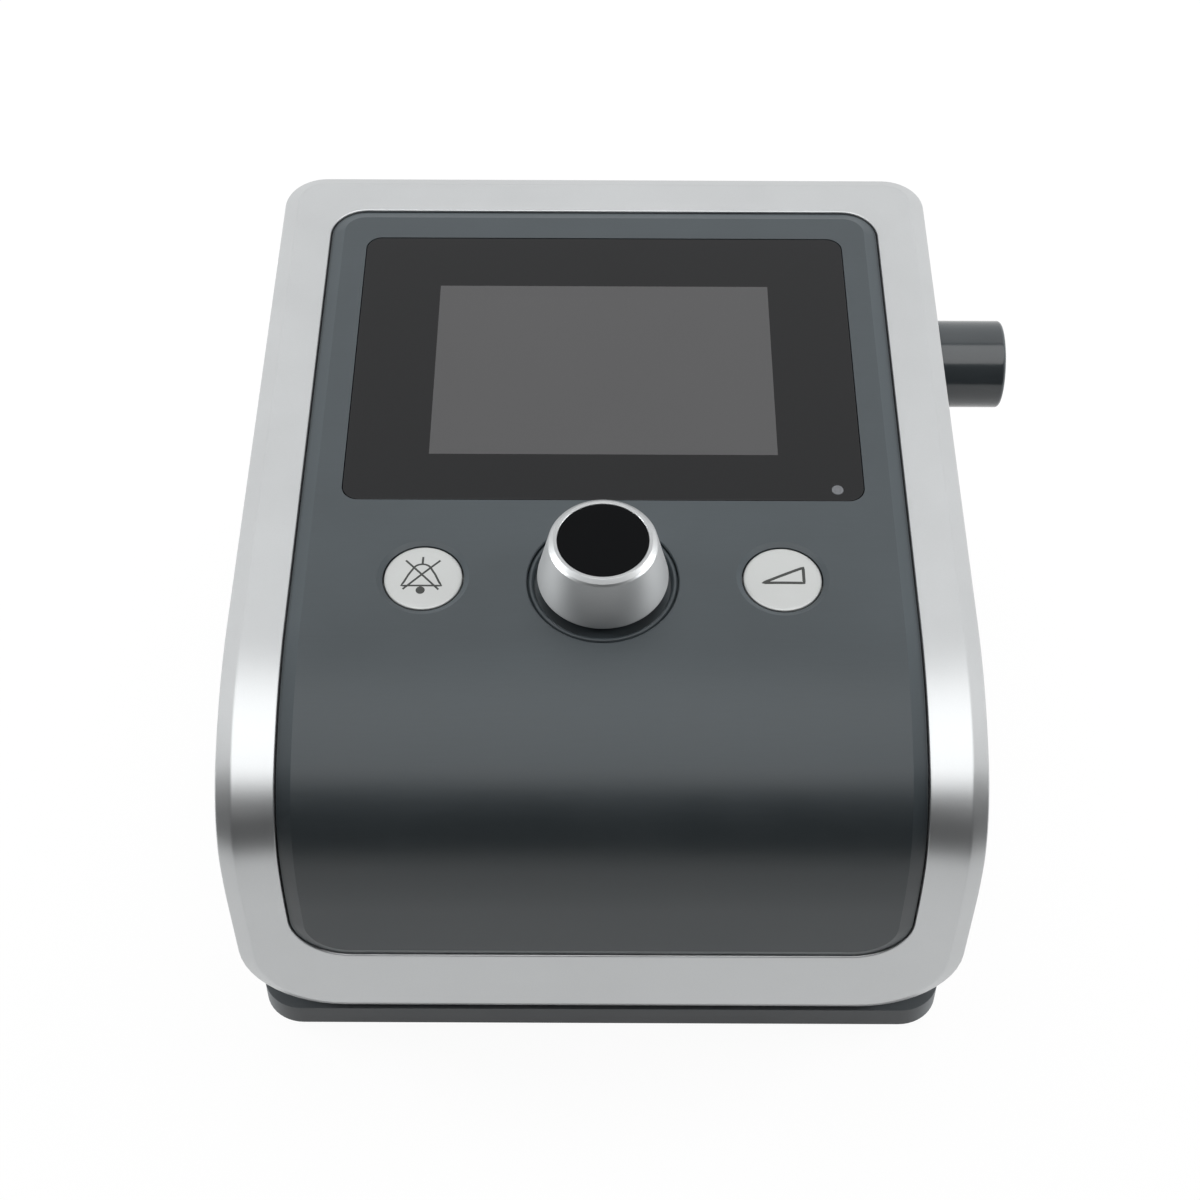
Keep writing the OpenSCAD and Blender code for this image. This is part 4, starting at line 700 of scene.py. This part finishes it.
# The finish of each node, also of those that a modelled piece stands for
NODE_FINISHES = {
    "textured_abs": "base_tray main_case rear_cover filter_cover",
    "silicone_rubber": "foot_ring outlet_seal blower_mounts nozzle_grommet port_flap",
    "zinc_plate": "case_screws control_board_screws board_screws",
    "black_nylon": "speaker encoder_housing tact_switches main_chip flow_sensor power_inlet",
    "unlit_display": "display_panel",
    "rolled_steel": "display_bracket card_socket data_port",
    "brushed_grey_lacquer": "knob_well_ring front_fascia",
    "satin_silver_lacquer": "silver_surround",
    "satin_knob_lacquer": "knob_shell",
    "gloss_black_acrylic": "knob_cap",
    "button_paint": "mute_button ramp_button",
    "black_printed_glass": "screen_glass",
    "smoked_lens": "sensor_lens",
    "polished_abs": "air_outlet",
    "solder_mask": "control_board main_board port_board motor_board",
    "turned_brass": "encoder_bush",
    "natural_acetal": "encoder_rotor mute_plunger ramp_plunger",
    "ground_steel": "encoder_shaft motor_shaft motor_bearings backup_cell",
    "grey_polycarbonate": "outlet_chamber inlet_duct sound_box sound_box_lid",
    "milky_silicone": "pressure_hose",
    "inlet_filter_foam": "air_filter",
    "damping_foam": "acoustic_foam",
    "white_pbt": "lower_volute upper_volute impeller",
    "nickel_magnet": "rotor_magnet",
    "enamelled_copper": "motor_stator",
    "capacitor_sleeve": "capacitors",
    "extruded_aluminium": "heat_sink",
    "blue_card": "memory_card",
    "lead_sleeve": "internal_leads",
}


class MACHINE_OT_finishes(bpy.types.Operator):
    """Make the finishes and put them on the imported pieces"""
    bl_idname = "breathing_machine.finishes"
    bl_label = "Finishes"

    def execute(self, context):
        make_finishes()
        left = set(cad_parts)
        for finish_name, nodes in NODE_FINISHES.items():
            for node in nodes.split():
                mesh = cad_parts[node].data
                mesh.materials.clear()
                mesh.materials.append(FINISHES[finish_name])
                left.discard(node)
        if left:
            raise RuntimeError(f"no finish for {sorted(left)}")
        return {"FINISHED"}


class MACHINE_OT_surround(bpy.types.Operator):
    """Sweep the silver surround round the bent face"""
    bl_idname = "breathing_machine.surround"
    bl_label = "Silver surround"

    def execute(self, context):
        f = settings().face
        outer, opening = face_rings()
        # The lip goes in under the fascia. Its faces slope a little, as flat_frame() needs.
        under, lip, slope = f.fascia + f.wall, 3.2 * MM, 0.3 * MM
        piece = flat_frame((
            (opening, 0, f.fascia), (opening, 0, f.band_dip), (outer, -f.facet, 0), (outer, 0, f.facet_drop),
            (outer, 0, f.depth), (outer, -f.wall, f.depth), (outer, -f.wall, under - 4 * slope),
            (opening, -lip, under), (opening, -lip, f.fascia + slope)))
        rounded(piece, f.edge, angle=20)
        smooth(bent(piece))
        named(piece, "surround_trim", "machine", "silver", "satin_silver_lacquer", "silver_surround")
        return {"FINISHED"}


class MACHINE_OT_fascia(bpy.types.Operator):
    """Mould the dark fascia with its glass pocket and its wells"""
    bl_idname = "breathing_machine.fascia"
    bl_label = "Fascia"

    def execute(self, context):
        f, c, glass = settings().face, settings().controls, settings().screen.thickness
        piece = flat_outline(face_rings()[1], -f.gap, f.fascia, steps=14)
        pick(piece, lambda face: True, "FACE")
        bpy.ops.mesh.extrude_region_move(TRANSFORM_OT_translate={"value": (0, f.chamfer_drop - f.fascia, 0)})
        bpy.ops.mesh.inset(thickness=f.chamfer, depth=0)
        bpy.ops.transform.translate(value=(0, -f.chamfer_drop, 0))
        outward()
        # The cutters stand proud of the face, and the well widens at its rim
        proud, gap, rim = MM, 0.15 * MM, 0.25 * MM
        well = flat_drum(0, c.place, (
            (0, -c.well_depth), (c.well, -c.well_depth), (c.well, -rim), (c.well + rim + proud, proud), (0, proud)))
        hole, bevel, low = c.button + c.button_gap, c.button_bevel_depth, -f.fascia - proud
        holes = [flat_drum(x, c.place - c.button_up, (
            (0, low), (hole, low), (hole, -bevel), (hole + 2 * c.button_bevel, bevel), (0, bevel)))
            for x in (-c.button_place, c.button_place)]
        cut(piece, flat_plate(glass_ring(gap), 0, -proud, proud + glass), well, *holes)
        rounded(piece, 0.3 * MM, angle=18)
        smooth(bent(piece))
        named(piece, "fascia_plate", "machine", "fascia_grey", "brushed_grey_lacquer", "front_fascia")
        return {"FINISHED"}


class MACHINE_OT_screen(bpy.types.Operator):
    """Make the black glass with the display behind it, and the sensor lens"""
    bl_idname = "breathing_machine.screen"
    bl_label = "Screen"

    def execute(self, context):
        screen = settings().screen
        piece = flat_plate(glass_ring(), 0, 0, screen.thickness)
        lens_x = screen.width / 2 - screen.lens_side
        lens_s = screen.top + screen.height - screen.lens_edge
        radius, under = screen.lens / 2, -2 * MM
        cut(piece, flat_drum(lens_x, lens_s, ((0, under), (radius, under), (radius, MM), (0, MM))))
        rounded(piece, 0.25 * MM, angle=30)
        # Edges round the display, so that its faces can have their own finish
        top, half = screen.top + screen.window_top, screen.window_width / 2
        end = top + screen.window_height
        sliced(piece, (top, end))
        sliced(piece, (-half, half), 2)
        smooth(bent(piece))
        named(piece, "cover_glass", "machine", "screen_black", "black_printed_glass", "screen_glass")
        piece.data.materials.append(FINISHES["unlit_display"])
        back, front, upward = face_point(top)[0], face_point(end)[0], 0.9
        for f in piece.data.polygons:
            f.material_index = int(
                abs(f.center.x) < half and front < f.center.y < back and f.normal.z > upward)
        low, rise = -1.5 * MM, 0.1 * MM
        lens = turned((
            (0, low), (radius - 0.05 * MM, low), (radius - 0.05 * MM, -rise), (radius - 0.4 * MM, -rise),
            (radius - 0.6 * MM, -2.5 * rise), (0, -1.5 * rise)), 48)
        smooth(on_face(lens, lens_x, lens_s))
        named(lens, "sensor_window", "machine", "lens_black", "smoked_lens", "sensor_lens")
        return {"FINISHED"}


class MACHINE_OT_knob(bpy.types.Operator):
    """Turn the knob, its gloss black cap and the ring in its well"""
    bl_idname = "breathing_machine.knob"
    bl_label = "Knob"

    def execute(self, context):
        c = settings().controls
        top, foot, skin = c.height, c.foot_height, 1.6 * MM
        # The cap's seat, the underside of the top and the sleeve that hides the bush
        seat, under, sleeve = top - 1.5 * MM, top - 4 * MM, c.foot - 2 * MM
        # Up the sleeve, out under the foot, up the cone, over the top's facets and down into the seat
        shell = turned(eased((
            (sleeve - 1.2 * MM, -MM, 0), (sleeve, -MM, 0.2 * MM), (sleeve, foot, 0),
            (c.foot - 0.1 * MM, foot, 0.1 * MM), (c.foot, foot + 0.45 * MM, 0.2 * MM),
            (c.top, top - 1.35 * MM, 0.25 * MM), (c.top - 0.3 * MM, top - 0.8 * MM, 0.2 * MM),
            (c.top - 1.25 * MM, top, 0.25 * MM), (c.cap + 0.15 * MM, top - 0.12 * MM, 0.1 * MM),
            (c.cap, top - 0.3 * MM, 0), (c.cap, seat, 0), (0, seat, 0), (0, under, 0), (c.top - skin, under, 0))))
        smooth(on_face(shell, 0, c.place), 50)
        named(shell, "knob_skirt", "knob", "knob_silver", "satin_knob_lacquer", "knob_shell")
        rim = c.cap - 0.06 * MM
        cap = turned(eased(((0, seat, 0), (rim, seat, 0), (rim, top - 0.15 * MM, 0.12 * MM), (0, top - 0.1 * MM, 0))))
        smooth(on_face(cap, 0, c.place), 50)
        named(cap, "knob_inlay", "knob", "cap_black", "gloss_black_acrylic", "knob_cap")
        inner, outer, low, high = c.foot + 0.7 * MM, c.well - 0.2 * MM, -c.well_depth, -0.25 * MM
        ring = turned(eased((
            (inner, low, 0), (outer, low, 0), (outer, -0.75 * MM, 0.15 * MM), (outer - 0.4 * MM, high, 0.3 * MM),
            (inner + 0.55 * MM, high, 0.4 * MM), (inner, -1.1 * MM, 0.3 * MM))))
        smooth(on_face(ring, 0, c.place), 40)
        named(ring, "knob_seat", "machine", "fascia_grey", "brushed_grey_lacquer", "knob_well_ring")
        return {"FINISHED"}


def stroke(points, width, closed=False):
    """A round line through points in millimetres, in steps short enough to follow a button's dome."""
    ends = points + points[:1] if closed else points
    points, longest = [Vector(ends[0])], 0.5
    for a, b in zip(ends, ends[1:]):
        count = max(int((Vector(b) - Vector(a)).length / longest), 1)
        points += [Vector(a).lerp(Vector(b), k / count) for k in range(1, count + 1)]
    if closed:
        points.pop()
    line = bpy.data.curves.new("stroke", "CURVE")
    line.dimensions = "3D"
    line.bevel_depth = width / 2
    line.bevel_resolution = 2
    line.use_fill_caps = True
    path = line.splines.new("POLY")
    path.points.add(len(points) - 1)
    for k, (x, y) in enumerate(points):
        path.points[k].co = (x * MM, y * MM, 0, 1)
    path.use_cyclic_u = closed
    take(placed("stroke", line))
    bpy.ops.object.convert(target="MESH")
    return bpy.context.object


def bell():
    """A crossed bell without its clapper: the outline, a short ray and the cross."""
    dome = [(-0.3 + 2.1 * sin(radians(a)), 2.05 + 1.7 * cos(radians(a))) for a in range(-60, 61, 10)]
    left = [(-4.9, -2.4), (-4.25, -1.2), (-3.4, 0.7)]
    right = [(2.8, 0.7), (3.65, -1.2), (4.3, -2.4)]
    return [(left + dome + right, True), ([(-0.3, 3.7), (-0.25, 5.9)], False),
            ([(-4.2, 4.9), (3.7, -3.5)], False), ([(3.75, 4.9), (-4.5, -3.4)], False)]


def ramp():
    """A rising wedge: the sign for a slow start."""
    return [([(-4.6, -1.2), (4.85, 3.25), (4.85, -1.2)], True)]


class MACHINE_OT_buttons(bpy.types.Operator):
    """Make the two buttons and print their symbols"""
    bl_idname = "breathing_machine.buttons"
    bl_label = "Buttons"

    def execute(self, context):
        c = settings().controls
        low, top, edge = -settings().face.fascia - 0.3 * MM, -c.button_sink, c.button - 0.5 * MM
        # A button has a stem on its plunger and a flange under the fascia, which keeps it in
        stem, stem_low, flange, flange_low = 2.75 * MM, -5 * MM, c.button + 1.2 * MM, low - 0.9 * MM
        steps, printed = 12, 0.1
        dome = [(edge * (1 - k / steps), top + c.button_dome * (1 - (1 - k / steps) ** 2)) for k in range(1, steps)]
        for body, x, width, lines in (("mute", -c.button_place, c.bell_stroke, bell()),
                                      ("ramp", c.button_place, c.ramp_stroke, ramp())):
            disc = turned([
                (0, stem_low), (stem, stem_low), (stem, flange_low), (flange, flange_low), (flange, low),
                (c.button, low), (c.button, top - 0.45 * MM), (c.button - 0.18 * MM, top - 0.14 * MM),
                (edge, top)] + dome + [(0, top + c.button_dome)])
            smooth(on_face(disc, x, c.place - c.button_up), 50)
            named(disc, body + "_disc", body, "knob_silver", "button_paint", body + "_button")
            parts = [stroke(points, width, closed) for points, closed in lines]
            if body == "mute":
                # The clapper
                deselect()
                bpy.ops.mesh.primitive_uv_sphere_add(
                    segments=32, ring_count=12, radius=1.05 * MM, location=(-0.45 * MM, -3.7 * MM, 0))
                parts.append(bpy.context.object)
                settle(parts[-1])
            symbol = joined(parts)
            symbol.scale = (1, 1, printed)
            settle(symbol)
            for vertex in symbol.data.vertices:
                vertex.co.z += c.button_dome * (1 - (vertex.co.xy.length / edge) ** 2)
            on_face(symbol, x, c.place - c.button_up, c.button_sink)
            named(symbol, body + "_symbol", body, "knob_silver", "printed_ink")
        return {"FINISHED"}


class MACHINE_OT_spigot(bpy.types.Operator):
    """Turn the air spigot with its rounded end"""
    bl_idname = "breathing_machine.spigot"
    bl_label = "Air spigot"

    def execute(self, context):
        o = settings().outlet
        low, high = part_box("air_outlet")
        middle = (low + high) / 2
        start, end = low.x, high.x
        # A flange sits behind the seal
        flange, seal = o.radius + 2 * MM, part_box("outlet_seal")[0].x
        behind, steps = seal - 2 * MM, 8
        tip = [(o.radius - o.tip + o.tip * cos(a), end - o.tip + o.tip * sin(a))
               for a in (k * pi / 2 / steps for k in range(steps + 1))]
        piece = turned([
            (o.bore, start), (o.root, start), (o.root, behind), (flange, behind), (flange, seal), (o.root, seal),
            (o.root, o.root_end), (o.radius, o.root_end + o.root_taper)
        ] + tip + [
            (o.bore + 0.4 * MM, end), (o.bore + 0.1 * MM, end - 0.15 * MM), (o.bore, end - 0.45 * MM),
            (o.bore, start)])
        piece.rotation_euler = (0, pi / 2, 0)
        piece.location = (0, middle.y, middle.z)
        settle(piece)
        smooth(piece, 40)
        named(piece, "air_spigot", "machine", "outlet_grey", "polished_abs", "air_outlet")
        return {"FINISHED"}


class MACHINE_OT_case(bpy.types.Operator):
    """Ease the moulded edges of the base, the case, the rear cover, the filter cover and the flap"""
    bl_idname = "breathing_machine.case"
    bl_label = "Case"

    def execute(self, context):
        edge = settings().face.edge
        case, rubber = ("case_plastic", "textured_abs"), ("ring_rubber", "silicone_rubber")
        for node, name, body, (slot, coat), share in (
                ("base_tray", "base_shell", "machine", case, 1), ("main_case", "case_shell", "machine", case, 0.7),
                ("rear_cover", "rear_shell", "machine", case, 0.7),
                ("filter_cover", "filter_door", "filter", case, 0.7), ("port_flap", "port_lid", "flap", rubber, 0.5)):
            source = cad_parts[node]
            piece = placed(name, source.data.copy())
            piece.matrix_world = source.matrix_world
            settle(piece)
            edit(piece)
            pick_all()
            bpy.ops.mesh.remove_doubles(threshold=0.005 * MM)
            bpy.ops.mesh.dissolve_limited(angle_limit=radians(0.5))
            close()
            if node == "port_flap":
                self.grip(piece)
            rounded(piece, share * edge, segments=2, angle=38)
            smooth(piece)
            named(piece, name, body, slot, coat, node)
        return {"FINISHED"}

    def grip(self, lid):
        """Cuts three finger grooves across the flap's lower half."""
        low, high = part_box("port_flap")
        # The lowest groove's height and the pitch are in millimetres
        first, pitch, groove = 2.2, 1.5, (12 * MM, 1.1 * MM, 0.7 * MM)
        places = [((low.x + high.x) / 2, high.y, low.z + (first + pitch * k) * MM) for k in range(3)]
        cut(lid, *[block("cube", place, groove) for place in places])


class MACHINE_OT_studio(bpy.types.Operator):
    """Set up the floor, the soft light and the camera"""
    bl_idname = "breathing_machine.studio"
    bl_label = "Studio"

    def execute(self, context):
        scene, studio = context.scene, settings().studio
        scene.view_settings.view_transform = "Standard"
        self.camera(scene, studio)
        self.world(scene, studio)
        self.floor()
        # Cards that reflections see. The black flag round the front also keeps the room's light off it, and
        # the grey seam parts the soft card from the white of the room.
        self.screen("black_flag", (0.29, 0.002), (1.17, 1.03), radians(132), "#2a2b2d")
        self.card("soft_card", (-1.2, 1.13), (0.05, 1.17), 2.4, "#ffffff", 2.4)
        self.card("seam_card", (0.05, 1.17), (0.17, 1.17), 2.4, "#8a8b8d", 1)
        self.lamp("overhead_soft_box", (0, 0.35, 1.25), 1.2, studio.key)
        self.lamp("left_soft_box", (-1.0, 0.3, 0.24), 0.5, studio.side)
        self.lamp("right_soft_box", (1.0, 0.2, 0.24), 0.5, studio.side)
        # Two more lamps light the knob alone, and its sheen shows them
        knob_alone = bpy.data.collections.new("knob_alone")
        knob_alone.objects.link(bpy.data.objects["knob_skirt"])
        for name, x in (("left_knob_lamp", -1.0), ("right_knob_lamp", 1.0)):
            lamp = self.lamp(name, (x, -0.15, 0.16), 0.5, studio.knob)
            lamp.visible_glossy = True
            lamp.light_linking.receiver_collection = knob_alone
        return {"FINISHED"}

    def camera(self, scene, studio):
        view = bpy.data.cameras.new("camera")
        view.lens, view.sensor_width = studio.lens, 36
        view.shift_x, view.shift_y = studio.shift
        view.clip_start, view.clip_end = 0.01, 20
        camera = placed("camera", view)
        camera.matrix_world = (
            Matrix.Translation(studio.place) @ Matrix.Rotation(pi / 2 - studio.pitch, 4, "X")
            @ Matrix.Rotation(studio.roll, 4, "Z"))
        scene.camera = camera

    def seen(self, tree):
        """1 for a ray from the camera, a mirror or glass."""
        path = add(tree, "LightPath")
        some = add(tree, "Math", {0: path.outputs["Is Camera Ray"], 1: path.outputs["Is Glossy Ray"]},
                   operation="ADD", use_clamp=True)
        return add(tree, "Math", {0: some.outputs[0], 1: path.outputs["Is Transmission Ray"]},
                   operation="ADD", use_clamp=True).outputs[0]

    def world(self, scene, studio):
        world = bpy.data.worlds.new("white_room")
        scene.world = world
        world.use_nodes = True
        tree = world.node_tree
        tree.nodes.clear()
        lit, white = (
            add(tree, "Background", {"Color": linear("#ffffff"), "Strength": s}) for s in (studio.fill, 1.0))
        both = add(tree, "MixShader", {0: self.seen(tree), 1: lit.outputs[0], 2: white.outputs[0]})
        add(tree, "OutputWorld", {"Surface": both.outputs[0]})

    def floor(self):
        deselect()
        bpy.ops.mesh.primitive_plane_add(size=40, location=(0, 0, -0.1 * MM))
        floor = bpy.context.object
        floor.name = "floor"
        material, tree = blank("white_paper")
        paper = add(tree, "BsdfDiffuse", {"Color": linear("#f4f4f3")})
        white = add(tree, "Emission", {"Color": linear("#ffffff"), "Strength": 1.0})
        # Almost all white to the camera, and for the rest paper that takes the object's shadow
        share = add(tree, "Math", {0: self.seen(tree), 1: 0.95}, operation="MULTIPLY")
        show(tree, "MixShader", {0: share.outputs[0], 1: paper.outputs[0], 2: white.outputs[0]})
        floor.data.materials.append(material)

    def card(self, name, foot, top, width, code, strength):
        """A flat card from its lower to its upper edge, as (y, z). Only reflections show it."""
        foot, top = Vector(foot), Vector(top)
        card = block("plane", (0, 0, 0), (width, (top - foot).length, 1))
        card.rotation_euler = (atan2(top.y - foot.y, top.x - foot.x), 0, 0)
        card.location = (0, (foot.x + top.x) / 2, (foot.y + top.y) / 2)
        self.hang(card, name, code, strength)

    def screen(self, name, foot, top, sweep, code):
        """A dark screen curved round the front, from (radius, z) to (radius, z). It also takes light from
        the room."""
        screen = turned((foot, top), 48, sweep)
        screen.rotation_euler = (0, 0, -pi / 2 + sweep / 2)
        self.hang(screen, name, code, 1)
        screen.visible_diffuse = True

    def hang(self, card, name, code, strength):
        """Gives a card its glow, and hides it from all but reflections."""
        card.name = name
        material, tree = blank(name)
        show(tree, "Emission", {"Color": linear(code), "Strength": strength})
        card.data.materials.append(material)
        card.visible_camera = card.visible_shadow = card.visible_diffuse = False
        card.visible_transmission = card.visible_volume_scatter = False

    def lamp(self, name, place, size, power):
        """A square lamp aimed at the middle of the machine, which reflections don't show."""
        light = bpy.data.lights.new(name, "AREA")
        light.shape, light.size, light.energy = "SQUARE", size, power
        lamp = placed(name, light)
        lamp.location = place
        lamp.rotation_euler = (Vector(place) - Vector((0, 0, 0.06))).to_track_quat("Z", "Y").to_euler()
        lamp.visible_glossy = lamp.visible_camera = False
        return lamp


class MACHINE_PT_panel(bpy.types.Panel):
    """The steps that dress the breathing machine"""
    bl_idname = "MACHINE_PT_panel"
    bl_label = "Breathing machine"
    bl_space_type = "VIEW_3D"
    bl_region_type = "UI"
    bl_category = "Breathing machine"

    def draw(self, context):
        for step in STEPS:
            self.layout.operator(step.bl_idname)


STEPS = (
    MACHINE_OT_finishes, MACHINE_OT_surround, MACHINE_OT_fascia, MACHINE_OT_screen, MACHINE_OT_knob,
    MACHINE_OT_buttons, MACHINE_OT_spigot, MACHINE_OT_case, MACHINE_OT_studio,
)
CLASSES = (
    MachineFace, MachineScreen, MachineControls, MachineOutlet, MachineColours,
    MachineStudio, BreathingMachine,
) + STEPS + (MACHINE_PT_panel,)


def register():
    for item in CLASSES:
        bpy.utils.register_class(item)
    bpy.types.Scene.breathing_machine = PointerProperty(type=BreathingMachine)


def unregister():
    del bpy.types.Scene.breathing_machine
    for item in reversed(CLASSES):
        bpy.utils.unregister_class(item)


def main():
    register()
    for step in STEPS:
        getattr(bpy.ops.breathing_machine, step.bl_idname.split(".")[1])()


if __name__ == "__main__":
    main()
